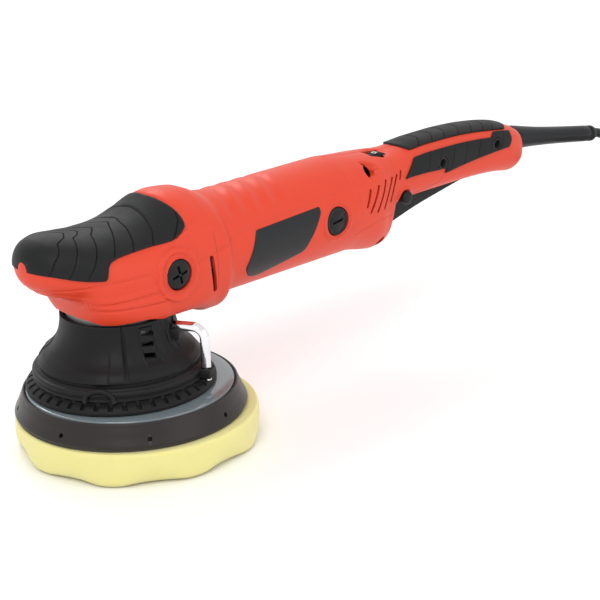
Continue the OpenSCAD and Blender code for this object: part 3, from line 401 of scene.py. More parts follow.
def plate(name, outline, surface, thick, step=1.4, holes=(), grooves=(), depth=0.5, half=0.45, edge=0.9,
          floor=-0.4, extra=None):
    """Moulded layer on a surface, cut to an outline, with a rounded edge, holes and grooves.

    outline, holes and grooves are in the surface's own flat coordinates, in millimetres.
    surface(u, v, d) gives the point d above it. Grooves are half wide on each side and depth deep.
    """
    outline = resample(outline, step, True)
    holes = [np.asarray(h, float) for h in holes]
    grooves = [resample(g, step * 0.8) for g in grooves]
    lo, hi = outline.min(0), outline.max(0)
    U, V = np.meshgrid(np.arange(lo[0], hi[0], step), np.arange(lo[1], hi[1], step), indexing="ij")
    V = V + (np.arange(U.shape[0]) % 2)[:, None] * step * 0.5
    inner = np.stack([U.ravel(), V.ravel()], 1)
    rings = [outline] + holes
    extras = []
    for line in rings:
        for d in (0.22 * edge, 0.55 * edge, 1.05 * edge):
            for s in (-1, 1):
                extras.append(offset_line(line, s * d, True))
    for g in grooves:
        for d in (-half, 0, half):
            extras.append(offset_line(g, d, False))
    near = np.min([dist_to(inner, r, True) for r in rings] + [dist_to(inner, g) for g in grooves], axis=0)
    inner = inner[near > max(1.2 * edge, half + 0.3)]
    fine = np.vstack(extras)
    fine = fine[np.min([dist_to(fine, r, True) for r in rings], axis=0) > 0.18 * edge]
    inner = np.vstack([inner, fine])
    keep = inside(inner, outline)
    for h in holes:
        keep &= ~inside(inner, h)
    inner = inner[keep]
    pts = np.vstack(rings + [inner])
    edges, at = [], 0
    for r in rings:
        edges += [(at + i, at + (i + 1) % len(r)) for i in range(len(r))]
        at += len(r)
    got = delaunay_2d_cdt([Vector(p) for p in pts], edges, [], 0, 1e-5)
    flat = np.array([tuple(p) for p in got[0]])
    tris = [f for f in got[2] if len(f) >= 3]
    centre = np.array([flat[list(f)].mean(0) for f in tris])
    ok = inside(centre, outline)
    for h in holes:
        ok &= ~inside(centre, h)
    tris = [f for f, k in zip(tris, ok) if k]
    rim = np.min([dist_to(flat, r, True) for r in rings], axis=0)
    up = floor + (thick - floor) * np.sqrt(1 - (1 - np.clip(rim / edge, 0, 1)) ** 2)
    for g in grooves:
        up -= depth * (1 - ramp(dist_to(flat, g), 0.0, half))
    if extra is not None:
        up += extra(flat[:, 0], flat[:, 1])
    top = surface(flat[:, 0], flat[:, 1], up)
    low = surface(flat[:, 0], flat[:, 1], np.full(len(flat), floor))
    n = len(flat)
    count = {}
    for f in tris:
        for i in range(len(f)):
            e = (f[i], f[(i + 1) % len(f)])
            count[e] = count.get(e, 0) + 1
    faces = list(tris) + [tuple(n + i for i in f[::-1]) for f in tris]
    faces += [(b, a, n + a, n + b) for a, b in count if (b, a) not in count]
    return add_mesh(name, np.vstack([top, low]), faces, 48, weld=0.004)


def sweep(name, path, section, closed_section=True, sharp=35, up=(0, 1, 0), scale=None):
    """Section of (u, v) carried along a path; up fixes how it is turned."""
    path = np.asarray(path, float)
    sec = np.asarray(section, float)
    t = np.gradient(path, axis=0)
    t /= np.linalg.norm(t, axis=1)[:, None]
    side = np.cross(np.broadcast_to(up, t.shape), t)
    side /= np.linalg.norm(side, axis=1)[:, None]
    top = np.cross(t, side)
    k = np.ones(len(path)) if scale is None else np.asarray(scale, float)
    P = (path[:, None, :] + k[:, None, None] * (sec[None, :, 0, None] * side[:, None, :]
                                                + sec[None, :, 1, None] * top[:, None, :]))
    n, m = len(path), len(sec)
    faces = grid(n, m, closed_section)
    faces += [tuple(range(m))[::-1], tuple((n - 1) * m + j for j in range(m))]
    return add_mesh(name, P.reshape(-1, 3), faces, sharp)


def disc_on(name, profile, place, steps=96, sharp=35, push=None):
    """Turned piece: profile (r, h) about its own axis, then put in place by a matrix."""
    obj = revolve(name, profile, steps, closed=False, push=push, sharp=sharp)
    obj.data.transform(place)
    return obj


def along_y(x, y, z, side=1):
    """Matrix that lays a piece's own axis along Y, outwards on that side."""
    turn = Matrix.Rotation(math.radians(-90 * side), 4, "X")
    return Matrix.Translation(Vector((x, y, z)) * MM) @ turn


def block(name, size, place=Matrix(), bevel=0.5, seg=3):
    bm = bmesh.new()
    bmesh.ops.create_cube(bm, size=1)
    bmesh.ops.scale(bm, vec=Vector(size) * MM, verts=bm.verts)
    if bevel:
        bmesh.ops.bevel(bm, geom=bm.edges[:], offset=bevel * MM, segments=seg, profile=0.5, affect="EDGES")
    mesh = bpy.data.meshes.new(name)
    bm.to_mesh(mesh)
    bm.free()
    mesh.transform(place)
    obj = bpy.data.objects.new(name, mesh)
    scene.collection.objects.link(obj)
    shade(obj)
    return obj


def cylinder_cut(x, y0, y1, z, r, steps=48):
    return disc_on("cut", [(0, 0), (r, 0), (r, y1 - y0), (0, y1 - y0)], along_y(x, y0, z), steps)


def join(name, objs):
    """One object from several; the first one's place in the list gives nothing special."""
    bm = bmesh.new()
    for o in objs:
        bm.from_mesh(o.data)
    mesh = bpy.data.meshes.new(name)
    bm.to_mesh(mesh)
    bm.free()
    for o in objs:
        bpy.data.objects.remove(o)
    obj = bpy.data.objects.new(name, mesh)
    scene.collection.objects.link(obj)
    return obj


def carve(obj, cutters, sharp=40, mode="DIFFERENCE"):
    """Cuts all cutters out of obj and leaves a plain mesh."""
    tool = join("cut", cutters)
    mod = obj.modifiers.new("cut", "BOOLEAN")
    mod.operation = mode
    mod.solver = "MANIFOLD"
    mod.object = tool
    done = bpy.data.meshes.new_from_object(obj.evaluated_get(bpy.context.evaluated_depsgraph_get()))
    obj.modifiers.clear()
    obj.data = done
    bpy.data.objects.remove(tool)
    shade(obj, sharp)
    return obj


def box_between(x0, x1, y0, y1, z0, z1):
    place = Matrix.Translation(Vector(((x0 + x1) / 2, (y0 + y1) / 2, (z0 + z1) / 2)) * MM)
    return block("cut", (x1 - x0, y1 - y0, z1 - z0), place, 0)


def bar(a, b, width, y0, y1):
    """Cutter along the line a-b in the XZ plane with rounded ends, between two y."""
    a, b = np.asarray(a, float), np.asarray(b, float)
    d = b - a
    ang = math.atan2(d[1], d[0])
    prof = []
    for end, start in ((b, -90), (a, 90)):
        for t in np.linspace(start, start + 180, 7):
            u = ang + math.radians(t)
            prof.append((end[0] + width / 2 * math.cos(u), end[1] + width / 2 * math.sin(u)))
    n = len(prof)
    verts = [(p[0], y, p[1]) for y in (y0, y1) for p in prof]
    faces = [tuple(range(n)), tuple(range(2 * n - 1, n - 1, -1))]
    faces += [(i, i + n, (i + 1) % n + n, (i + 1) % n) for i in range(n)]
    return add_mesh("cut", verts, faces)


def both_sides(x, z, r, depth, y):
    return [cylinder_cut(x, -y - 1, -y + depth, z, r), cylinder_cut(x, y - depth, y + 1, z, r)]


def put(obj, body, slot, *nodes, material=None):
    """Names the body a piece moves with, its finish, and the CAD nodes it stands for."""
    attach(obj, body)
    if nodes:
        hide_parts(*nodes)
    obj.data.materials.clear()
    obj.data.materials.append(material or MAT[slot])
    return obj


# ---- Finishes ---------------------------------------------------------------
def socket(tree, name, kind, out=False, value=None):
    s = tree.interface.new_socket(name=name, in_out="OUTPUT" if out else "INPUT", socket_type=kind)
    if value is not None:
        s.default_value = value
    return s


def link(tree, a, b):
    tree.links.new(a, b)


def node(tree, kind, **values):
    n = tree.nodes.new(kind)
    for key, v in values.items():
        if key.startswith("_"):
            setattr(n, key[1:], v)
        else:
            n.inputs[key.replace("__", " ")].default_value = v
    return n


def make_grain():
    """Fine moulded or sanded grain: a bumped normal from two sizes of noise."""
    g = bpy.data.node_groups.new("grain", "ShaderNodeTree")
    socket(g, "Size", "NodeSocketFloat", value=3000)
    socket(g, "Height", "NodeSocketFloat", value=0.00003)
    socket(g, "Cells", "NodeSocketFloat", value=0.3)
    socket(g, "Normal", "NodeSocketVector", out=True)
    gi, go = g.nodes.new("NodeGroupInput"), g.nodes.new("NodeGroupOutput")
    co = g.nodes.new("ShaderNodeTexCoord")
    fine = node(g, "ShaderNodeTexNoise", Detail=3.0, Roughness=0.6)
    vor = g.nodes.new("ShaderNodeTexVoronoi")
    mix = node(g, "ShaderNodeMix", _data_type="FLOAT")
    bump = node(g, "ShaderNodeBump", Strength=1.0)
    for t in (fine, vor):
        link(g, co.outputs["Object"], t.inputs["Vector"])
        link(g, gi.outputs["Size"], t.inputs["Scale"])
    link(g, gi.outputs["Cells"], mix.inputs["Factor"])
    link(g, fine.outputs["Fac"], mix.inputs["A"])
    link(g, vor.outputs["Distance"], mix.inputs["B"])
    link(g, mix.outputs["Result"], bump.inputs["Height"])
    link(g, gi.outputs["Height"], bump.inputs["Distance"])
    link(g, bump.outputs["Normal"], go.inputs["Normal"])
    return g


def make_wear():
    """Masks: slow blotches of tone, painted shade in crevices from ambient occlusion, and a painted highlight on
    convex edges.
    """
    g = bpy.data.node_groups.new("wear", "ShaderNodeTree")
    socket(g, "Blotch size", "NodeSocketFloat", value=35)
    socket(g, "Crevice", "NodeSocketFloat", value=0.004)
    for name in ("Blotch", "Painted shade", "Edge highlight"):
        socket(g, name, "NodeSocketFloat", out=True)
    gi, go = g.nodes.new("NodeGroupInput"), g.nodes.new("NodeGroupOutput")
    co = g.nodes.new("ShaderNodeTexCoord")
    slow = node(g, "ShaderNodeTexNoise", Detail=5.0, Roughness=0.62)
    link(g, co.outputs["Object"], slow.inputs["Vector"])
    link(g, gi.outputs["Blotch size"], slow.inputs["Scale"])
    link(g, slow.outputs["Fac"], go.inputs["Blotch"])
    # Painted shade: ambient occlusion darkens the colour in crevices and recesses, where shade falls.
    ao = node(g, "ShaderNodeAmbientOcclusion", _samples=4)
    link(g, gi.outputs["Crevice"], ao.inputs["Distance"])
    painted_shade = node(g, "ShaderNodeMapRange", **{"From Min": 0.95, "From Max": 0.35, "To Min": 0.0, "To Max": 1.0})
    link(g, ao.outputs["AO"], painted_shade.inputs["Value"])
    link(g, painted_shade.outputs["Result"], go.inputs["Painted shade"])
    # Painted highlight: convex edges, found by pointiness, are lightened in slow patches.
    geo = g.nodes.new("ShaderNodeNewGeometry")
    edge = node(g, "ShaderNodeMapRange", **{"From Min": 0.53, "From Max": 0.62, "To Min": 0.0, "To Max": 1.0})
    link(g, geo.outputs["Pointiness"], edge.inputs["Value"])
    part = node(g, "ShaderNodeMath", _operation="MULTIPLY")
    link(g, edge.outputs["Result"], part.inputs[0])
    link(g, slow.outputs["Fac"], part.inputs[1])
    link(g, part.outputs["Value"], go.inputs["Edge highlight"])
    return g


GRAIN, TONE_AND_LIGHT = make_grain(), make_wear()


def finish(name, colour, rough, metal=0.0, grain=(3000, 0.00002, 0.3), vary=0.12, painted_shade=0.3, edge=0.12,
           shade_tint=(0.02, 0.018, 0.016), highlight=(1.0, 0.95, 0.9), coat=0.0, sheen=0.0, spec=0.5, blotch=35,
           deep=0.004, through=0.0):
    """Principled finish whose colour, roughness and surface all vary at the right scale; its colour also takes
    painted shade in crevices and a painted highlight on edges.
    """
    m = bpy.data.materials.new(name)
    m.use_nodes = True
    t = m.node_tree
    p = t.nodes["Principled BSDF"]
    p.inputs["Metallic"].default_value = metal
    p.inputs["Specular IOR Level"].default_value = spec
    p.inputs["Coat Weight"].default_value = coat
    p.inputs["Coat Roughness"].default_value = 0.12
    p.inputs["Sheen Weight"].default_value = sheen
    if through:
        p.inputs["Subsurface Weight"].default_value = through
        p.inputs["Subsurface Radius"].default_value = (0.004, 0.003, 0.0012)
        p.inputs["Subsurface Scale"].default_value = 1.0
    g = node(t, "ShaderNodeGroup", _node_tree=GRAIN)
    w = node(t, "ShaderNodeGroup", _node_tree=TONE_AND_LIGHT)
    for key, v in zip(("Size", "Height", "Cells"), grain):
        g.inputs[key].default_value = v
    w.inputs["Blotch size"].default_value = blotch
    w.inputs["Crevice"].default_value = deep
    link(t, g.outputs["Normal"], p.inputs["Normal"])
    span = node(t, "ShaderNodeMapRange", **{"From Min": 0.3, "From Max": 0.7, "To Min": rough * (1 - vary),
                                            "To Max": min(1.0, rough * (1 + vary))})
    link(t, w.outputs["Blotch"], span.inputs["Value"])
    link(t, span.outputs["Result"], p.inputs["Roughness"])
    base = Vector(colour)
    tone = node(t, "ShaderNodeMix", _data_type="RGBA")
    tone.inputs["A"].default_value = (*(base * (1 - vary * 0.35)), 1)
    tone.inputs["B"].default_value = (*(base * (1 + vary * 0.35)), 1)
    link(t, w.outputs["Blotch"], tone.inputs["Factor"])
    last = tone.outputs["Result"]
    # Painted shade pulls the colour towards a dark tint in crevices; a painted highlight pulls it towards a light
    # colour on edges.
    for mask, amount, to in (("Painted shade", painted_shade, Vector(shade_tint)), ("Edge highlight", edge, base.lerp(Vector(highlight), 0.35))):
        part = node(t, "ShaderNodeMath", _operation="MULTIPLY")
        part.inputs[1].default_value = amount
        link(t, w.outputs[mask], part.inputs[0])
        mix = node(t, "ShaderNodeMix", _data_type="RGBA")
        link(t, part.outputs["Value"], mix.inputs["Factor"])
        link(t, last, mix.inputs["A"])
        mix.inputs["B"].default_value = (*to, 1)
        last = mix.outputs["Result"]
    link(t, last, p.inputs["Base Color"])
    return m


# Each finish below also paints shade into its crevices and a highlight onto its edges, by the amounts and colours it
# is given.
RED = (0.66, 0.047, 0.015)
MAT = {
    "red_shell": finish("red_shell", RED, 0.44, spec=0.36, grain=(2600, 0.000012, 0.35), vary=0.1,
                        painted_shade=0.35, edge=0.1, shade_tint=(0.30, 0.02, 0.01), through=0.03),
    "soft_grip": finish("soft_grip", (0.008, 0.0083, 0.009), 0.56, spec=0.22, grain=(3400, 0.00002, 0.5),
                        painted_shade=0.3, edge=0.3, highlight=(0.4, 0.4, 0.4), vary=0.16),
    "black_shroud": finish("black_shroud", (0.0065, 0.0065, 0.007), 0.5, spec=0.2,
                           grain=(1900, 0.00004, 0.7), painted_shade=0.4, edge=0.25, highlight=(0.35, 0.35, 0.36),
                           vary=0.16),
    "black_plastic": finish("black_plastic", (0.007, 0.0075, 0.008), 0.42, spec=0.22,
                            grain=(2600, 0.00001, 0.3), painted_shade=0.3, edge=0.2, highlight=(0.35, 0.35, 0.36)),
    "badge": finish("badge", (0.010, 0.011, 0.012), 0.34, spec=0.3, grain=(5000, 0.000003, 0.2), painted_shade=0.2,
                    edge=0.1),
    "plate_rim": finish("plate_rim", (0.018, 0.0135, 0.0125), 0.36, spec=0.32, grain=(900, 0.000018, 0.3),
                        vary=0.2, painted_shade=0.35, edge=0.3, highlight=(0.5, 0.46, 0.42)),
    "plate_disc": finish("plate_disc", (0.15, 0.19, 0.205), 0.16, grain=(600, 0.000006, 0.1), vary=0.3,
                         coat=0.6, painted_shade=0.3, shade_tint=(0.05, 0.07, 0.08)),
    "foam": finish("foam", (0.76, 0.70, 0.29), 0.95, grain=(1500, 0.00022, 0.85), vary=0.08, painted_shade=0.25,
                   edge=0.05, shade_tint=(0.45, 0.38, 0.10), sheen=0.25, spec=0.1, through=0.25),
    "hook_layer": finish("hook_layer", (0.05, 0.045, 0.04), 0.95, grain=(2600, 0.0003, 0.9), vary=0.3),
    "cast_alloy": finish("cast_alloy", (0.30, 0.30, 0.31), 0.5, 0.9, grain=(1200, 0.00004, 0.6), vary=0.2),
    "steel": finish("steel", (0.42, 0.42, 0.43), 0.32, 1.0, grain=(2500, 0.000008, 0.2), vary=0.25),
    "chrome": finish("chrome", (0.80, 0.80, 0.82), 0.10, 1.0, grain=(700, 0.000006, 0.1), vary=0.5,
                     painted_shade=0.25),
    "bearing_steel": finish("bearing_steel", (0.55, 0.55, 0.56), 0.2, 1.0, grain=(3000, 0.000004, 0.1),
                            vary=0.2),
    "laminations": finish("laminations", (0.16, 0.16, 0.17), 0.45, 0.8, grain=(2000, 0.00003, 0.2),
                          vary=0.25),
    "winding": finish("winding", (0.55, 0.20, 0.06), 0.34, 0.7, grain=(1800, 0.00012, 0.7), vary=0.25),
    "brass": finish("brass", (0.62, 0.44, 0.16), 0.3, 1.0, grain=(2500, 0.000008, 0.2), vary=0.25),
    "carbon": finish("carbon", (0.03, 0.03, 0.032), 0.7, grain=(2400, 0.00003, 0.4), vary=0.2),
    "fan_plastic": finish("fan_plastic", (0.55, 0.55, 0.50), 0.5, grain=(2400, 0.00001, 0.3)),
    "plunger_plastic": finish("plunger_plastic", (0.35, 0.03, 0.02), 0.4, grain=(2400, 0.00001, 0.3)),
    "board": finish("board", (0.02, 0.10, 0.04), 0.35, grain=(1500, 0.00002, 0.5), vary=0.3),
    "cord_rubber": finish("cord_rubber", (0.006, 0.0065, 0.008), 0.36, spec=0.2,
                          grain=(1600, 0.000012, 0.3), painted_shade=0.25, edge=0.1, highlight=(0.3, 0.3, 0.3),
                          vary=0.2),
    "digit": finish("digit", (0.80, 0.80, 0.78), 0.5, grain=(2600, 0.00001, 0.3)),
}

# Inner pieces keep their CAD form and take only a finish
CAD_FINISH = {
    "hook_layer": ["hook_layer"], "steel": ["pad_bolt", "shroud_screws", "motor_screws", "handle_screws",
                                            "trigger_pin", "pad_spindle", "spindle", "armature_shaft",
                                            "crown_gear", "pinion", "trigger_spring", "brush_springs"],
    "bearing_steel": ["orbit_bearings", "lower_bearing", "upper_bearing", "front_bearing", "rear_bearing"],
    "cast_alloy": ["counterweight", "bearing_retainer", "gear_housing"],
    "laminations": ["stator_core", "armature_core"], "winding": ["stator_windings", "armature_windings"],
    "brass": ["commutator", "brush_holders", "plug_pins"], "carbon": ["brushes"], "fan_plastic": ["fan"],
    "plunger_plastic": ["switch_plunger"], "board": ["control_board"],
    "black_plastic": ["switch_body", "cable_clamp"],
}
for slot_name, names in CAD_FINISH.items():
    for n in names:
        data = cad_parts[n].data
        data.materials.clear()
        data.materials.append(MAT[slot_name])


# ---- Hood -------------------------------------------------------------------
# Height of the overmould's lower edge along the side, and how far back it reaches at each angle
EDGE_Z = pchip([-69.6, -66, -62, -52, -44, -40, -33, -31.6, -30.4, -29, -26, -19.5, -9, 6, 21, 28, 36],
               [132, 131.4, 130.6, 127.6, 125.4, 124.6, 123.4, 123.4, 126, 130.5, 133.2, 134.6, 135.2, 135.7, 136,
                138.5, 141.5])
REAR_X = pchip([0, 1, 18, 32, 43, 49, 53, 58], [28.2, 28.3, 29.9, 32.6, 34.2, 34.3, 33.0, 21.0])


CREASE = [(36.7, 118.8), (51.4, 121.4), (65.4, 123.9), (75.5, 127.4), (83, 128.5), (98.5, 129.1), (120, 130.1),
          (136, 130.6), (154, 131.6), (187, 133.6), (217, 134.2), (250, 136.2), (262, 137.5)]


def groove_z(x, z, pts, half, x0=-999, x1=999, fade=2):
    xs, zs = zip(*pts)
    return (ridge(z - np.interp(x, xs, zs), half * 0.3, half) * ramp(x, x0 - fade, x0) * (1 - ramp(x, x1, x1 + fade)))


def hood_push(x, a, p):
    z, y = p[..., 2], p[..., 1]
    side = np.abs(y)
    a = np.minimum(a, 360 - a)
    d = np.zeros_like(x)
    # raised lip behind the overmould, sunk bed under it
    back = x - REAR_X(np.clip(a, 0, 58))
    d += 1.0 * ramp(back, 0.2, 2.4) * (1 - ramp(a, 56, 66)) * (1 - 0.55 * ramp(back, 8, 18))
    # stepped ribs round the front of the head
    steps_in = 1 - ramp(x, -2, 8)
    upper = np.interp(x, [-60, -50, -32, 0, 12], [119.5, 119.8, 120.6, 120.4, 120.2])
    d -= 0.5 * ridge(z - upper, 0.4, 0.9) * (1 - ramp(x, 0, 3))
    rib1 = np.interp(x, [-52, -42, -32, 3], [112.6, 109.0, 108.2, 109.0])
    rib2 = np.interp(x, [-52, -41, -32, 9], [110.5, 105.8, 104.6, 102.6])
    d += 0.75 * ridge(z - rib1 - 1.4, 1.3, 0.7) * steps_in
    d += 0.9 * ridge(z - rib2 - 0.6, 1.2, 0.7) * (1 - ramp(x, 5, 12))
    d += 0.8 * (1 - ramp(z, rib2 - 2.6, rib2 - 1.6)) * (1 - ramp(x, 8, 14))
    # boss round the side plug with its tail towards the motor
    r = np.hypot(x - PLUG[0], z - PLUG[1])
    on_side = ramp(side, 28, 32)
    tail = ridge(z - (PLUG[1] + np.interp(x, [20, 36], [2.0, 1.2])), 11.4, 0.9) * ramp(x, 19, 20) * (
        1 - ramp(x, 35.2, 36.2))
    d += 1.25 * np.maximum(1 - ramp(r, 16.2, 17.4), tail) * on_side
    d -= 1.1 * ridge(r - 11.9, 1.0, 0.8) * on_side
    # crease that runs on over the flange
    d -= 0.55 * groove_z(x, z, CREASE, 0.75, x0=36) * on_side
    # soft ridge where the grip's chin meets the head
    d -= 0.5 * ridge(x - np.interp(z, [100, 113, 120], [-43, -50, -58]), 0.8, 2.4) * (1 - ramp(z, 112, 118))
    return d


hood_x = np.concatenate([-69.6 + np.linspace(0, 1, 26) ** 2 * 12, spaced(-57.6, 0.9, 53.7)[1:]])
hood_a = np.linspace(0, 360, 300, endpoint=False)
hood = shell("hood_shell", HOOD, hood_x, hood_a, True, hood_push, open_nose=True)
slot_cuts = []
for s in (-1, 1):
    slot_cuts.append(bar((48.6, 118.6), (51.0, 97.2), 3.6, s * 30, s * 50))
carve(hood, both_sides(*PLUG, 10.2, 14, 44) + slot_cuts
      + [revolve("cut", [(0, HEAD_Z - 12), (38.4, HEAD_Z - 12), (38.4, HEAD_Z + 4), (0, HEAD_Z + 4)], 96)])
put(hood, "tool", "red_shell", "hood")
for side, tag in ((-1, "left"), (1, "right")):
    place = Matrix.Translation(Vector((48.6, side * 34.6, 108)) * MM)
    lining = block("slot_lining_" + tag, (9.4, 1.2, 28), place, 0.3)
    put(lining, "tool", "black_plastic")

# Front overmould in flat coordinates: u = x, v = angle times this many millimetres per degree
DEG = 0.52


def on_hood(u, v, d):
    return HOOD.point(u, v / DEG, d)


def edge_angle(x):
    return HOOD.angle_at(np.asarray(x, float), EDGE_Z(np.asarray(x, float)))


front_xs = np.concatenate([[-69.2, -68.6, -67.5, -66, -64], spaced(-62, 2, -34), [-33, -32, -31, -30, -29, -28, -26],
                           spaced(-24, 3, 21), [25, 29]])
low_edge = np.stack([front_xs, edge_angle(front_xs) * DEG], 1)
rear = [(float(REAR_X(v)), v * DEG) for v in (52, 49, 46, 42, 38, 34, 30, 26, 22, 18, 14, 10, 6, 2)]
right = np.vstack([low_edge, rear])
front_outline = np.vstack([right, (right * (1, -1))[::-1]])
FRONT_GROOVES = [
    [(-37, 0), (-43.1, 16), (-51.7, 28), (-54.7, 45), (-59.6, 62), (-63.1, 88)],
    [(-26.5, 0), (-32, 12), (-38.0, 19), (-43.7, 42), (-48.2, 61), (-54.2, 92)],
    [(-15, 0), (-19, 8), (-24, 16), (-30.1, 38), (-37.2, 64), (-43.5, 91)],
    [(-2.5, 0), (-5.5, 7), (-11, 22), (-16.4, 36), (-19.8, 45), (-23.3, 54)],
    [(3.6, 0), (1.8, 9), (-0.6, 24), (-4.6, 40), (-8.8, 51)],
    [(16.2, 0), (15.6, 9), (14.3, 22), (11.4, 39), (6.4, 51.5)],
    [(31.5, 38), (30.2, 45), (25.4, 52), (21.5, 56)],
]
front_grooves = []
for g in FRONT_GROOVES:
    half = [(x, a * DEG) for x, a in g]
    if g[0][1] == 0:
        front_grooves.append(half[::-1] + [(x, -v) for x, v in half[1:]])
    else:
        front_grooves += [half, [(x, -v) for x, v in half]]
front = plate("front_grip", front_outline, on_hood, 1.55, 1.3, grooves=front_grooves, depth=0.75, half=0.5,
              edge=1.1, floor=-0.3)
put(front, "tool", "soft_grip", "front_overmould")


def plug_head(r, h):
    return [(0, h), (r * 0.3, h), (r * 0.6, h - 0.25), (r * 0.85, h - 0.8), (r * 0.97, h - 1.5), (r, h - 2.4),
            (r, h - 6), (0, h - 6)]


for side, tag in ((-1, "left"), (1, "right")):
    cap = disc_on("side_plug_" + tag, plug_head(9.7, 0), along_y(PLUG[0], side * 41.4, PLUG[1], side), 96)
    cross = []
    for ang in (12, 102):
        turn = Matrix.Rotation(math.radians(ang), 4, "Z")
        place = along_y(PLUG[0], side * 41.4, PLUG[1], side) @ turn
        cross.append(block("cut", (12.4, 1.9, 4.4), place, 0.3))
    carve(cap, cross)
    put(cap, "tool", "black_plastic", *(["side_plugs"] if side < 0 else []))


# ---- Motor ------------------------------------------------------------------
def barrel_push(x, a, p):
    z, y = p[..., 2], p[..., 1]
    side = np.abs(y)
    a = np.minimum(a, 360 - a)
    d = np.zeros_like(x)
    out = ramp(side, 20, 26)
    xs, zs = zip(*CREASE)
    line = np.interp(x, xs, zs)
    above = ramp(z, line - 0.7, line + 0.5) * ramp(x, 68, 76)
    d += 0.75 * above
    d -= 0.55 * groove_z(x, z, CREASE, 0.75, x1=70) * out
    # finger dents over the top, each one slanting forward as it goes down
    along = x + 0.16 * a
    wave = 0.5 - 0.5 * np.cos(2 * math.pi * (along - 80) / 13.5)
    d -= 1.25 * wave * ramp(along, 78, 84) * (1 - ramp(along, 128, 140)) * (1 - ramp(a, 40, 56))
    # ring round each brush cap
    r = np.hypot(x - BRUSH_X, z - AXIS_Z)
    d += 0.9 * (1 - ramp(r, 13.2, 14.6)) * ramp(side, 22, 27)
    d -= 0.9 * (1 - ramp(r, 11.6, 12.4)) * ramp(side, 22, 27)
    return d


motor_x = spaced(54.04, 0.8, 140, 1.0, 186.96)
motor = shell("motor_shell", MOTOR, motor_x, hood_a, True, barrel_push, wall=2.9)
carve(motor, [cylinder_cut(BRUSH_X, -50, 50, AXIS_Z, 10.3, 72)])
put(motor, "tool", "red_shell", "motor_housing")

BADGE = [(92.6, 125.6), (151.9, 127.9), (152.4, 124.2), (136.5, 99.6), (96.5, 91.4), (88, 93.2), (82.6, 101)]


def on_barrel(side):
    def put_on(u, v, d):
        r = BARREL_R + d
        h = np.clip(v - AXIS_Z, -34, 34)
        return np.stack([u, side * np.sqrt(np.maximum(r * r - h * h, 0)), v], -1)
    return put_on


for side, tag in ((-1, "left"), (1, "right")):
    badge = plate("badge_" + tag, rounded(BADGE, [1.5, 1.2, 2, 3, 3.5, 3.5, 3]), on_barrel(side), 0.55, 1.6, edge=0.7,
                  floor=-0.5)
    put(badge, "tool", "black_plastic", *(["badges"] if side < 0 else []), material=MAT["badge"])
    cap = disc_on("brush_cap_" + tag, [(0, 0.1), (6.9, 0.1), (7.2, -0.15), (7.6, -0.15), (8, 0), (9.2, 0),
                                       (9.7, -0.5), (9.7, -6), (0, -6)],
                  along_y(BRUSH_X, side * 34.2, AXIS_Z, side), 180,
                  push=lambda r, z, a: (np.where(r > 9, r - 0.22 * (np.sin(a * 45) > 0), r), z))
    carve(cap, [block("cut", (9.6, 1.7, 3.4), along_y(BRUSH_X, side * 34.2, AXIS_Z, side)
                      @ Matrix.Rotation(math.radians(8), 4, "Z"), 0)])
    put(cap, "tool", "black_plastic", *(["brush_caps"] if side < 0 else []))


# ---- Rear handle ------------------------------------------------------------
# Slots between an upper and a lower end on the side, as (x, z)
VENTS = [((203.6, 127), (197.4, 117)), ((213.4, 127.6), (201.2, 112)), ((223.6, 129), (209.4, 110.6)),
         ((232.8, 128.4), (218.4, 110.8)), ((239, 128.6), (228.6, 112.6)), ((244.6, 130), (242.8, 125.2))]
DIAL_WINDOW = [(225.0, -9.9), (235.6, -14.4), (241.6, 0.6), (227, 1.5)]
DIAL_Y = -6.0
DIAL_X = 234.0
LOW_CREASE = [(188, 99), (200, 102.4), (211.8, 104.3), (224.3, 103.2), (234, 101.4)]


def handle_push(x, a, p):
    z, y = p[..., 2], p[..., 1]
    side = np.abs(y)
    d = np.zeros_like(x)
    xs, zs = zip(*CREASE)
    line = np.interp(x, xs, zs)
    d += 0.75 * ramp(z, line - 0.7, line + 0.5) * (1 - ramp(x, 240, 258))
    d -= 0.4 * groove_z(x, z, LOW_CREASE, 0.7, x1=230) * ramp(side, 8, 12)
    left = y < 0
    # scoop beside the dial and the rounded recess round its window
    u, v = x - 212.5, (a - 36) * 0.5
    along, across = u * 0.80 + v * 0.60, -u * 0.60 + v * 0.80
    d -= np.where(left, 2.6 * (1 - ramp(np.hypot(along / 8.6, across / (3.1 + 0.12 * along)), 0.45, 1.0)), 0)
    u, v = x - 233.6, -y - 5.6
    d -= np.where(left | (y < 3), 0.9 * (1 - ramp(np.hypot(u / 12.2, v / 9.8), 0.78, 1.0)) * (z > AXIS_Z + 15), 0)
    # sunk field that holds the vents
    field = ramp(x, 192, 197) * (1 - ramp(x, 247, 250)) * ramp(z, 106, 110) * (1 - ramp(z, line - 4, line - 1.5))
    d -= 0.35 * field
    # collar round the lock button
    r = np.hypot(x - LOCK[0], z - LOCK[1])
    d += np.where(left, 0.9 * ridge(r - 7.0, 0.8, 0.9) - 0.6 * (1 - ramp(r, 5.6, 6.4)), 0)
    # panel edge that drops from the side grip to the trigger
    d -= 0.4 * groove_z(x, z, [(262, 108.2), (288, 112.2), (292, 117)], 0.7, x0=262, x1=291)
    # narrow chamfer along the split, and a bead at the rear end
    d -= 0.5 * (1 - ramp(np.minimum(a, 180 - a), 0.0, 1.6))
    d += 0.5 * ridge(x - 389.4, 0.8, 1.2)
    return d


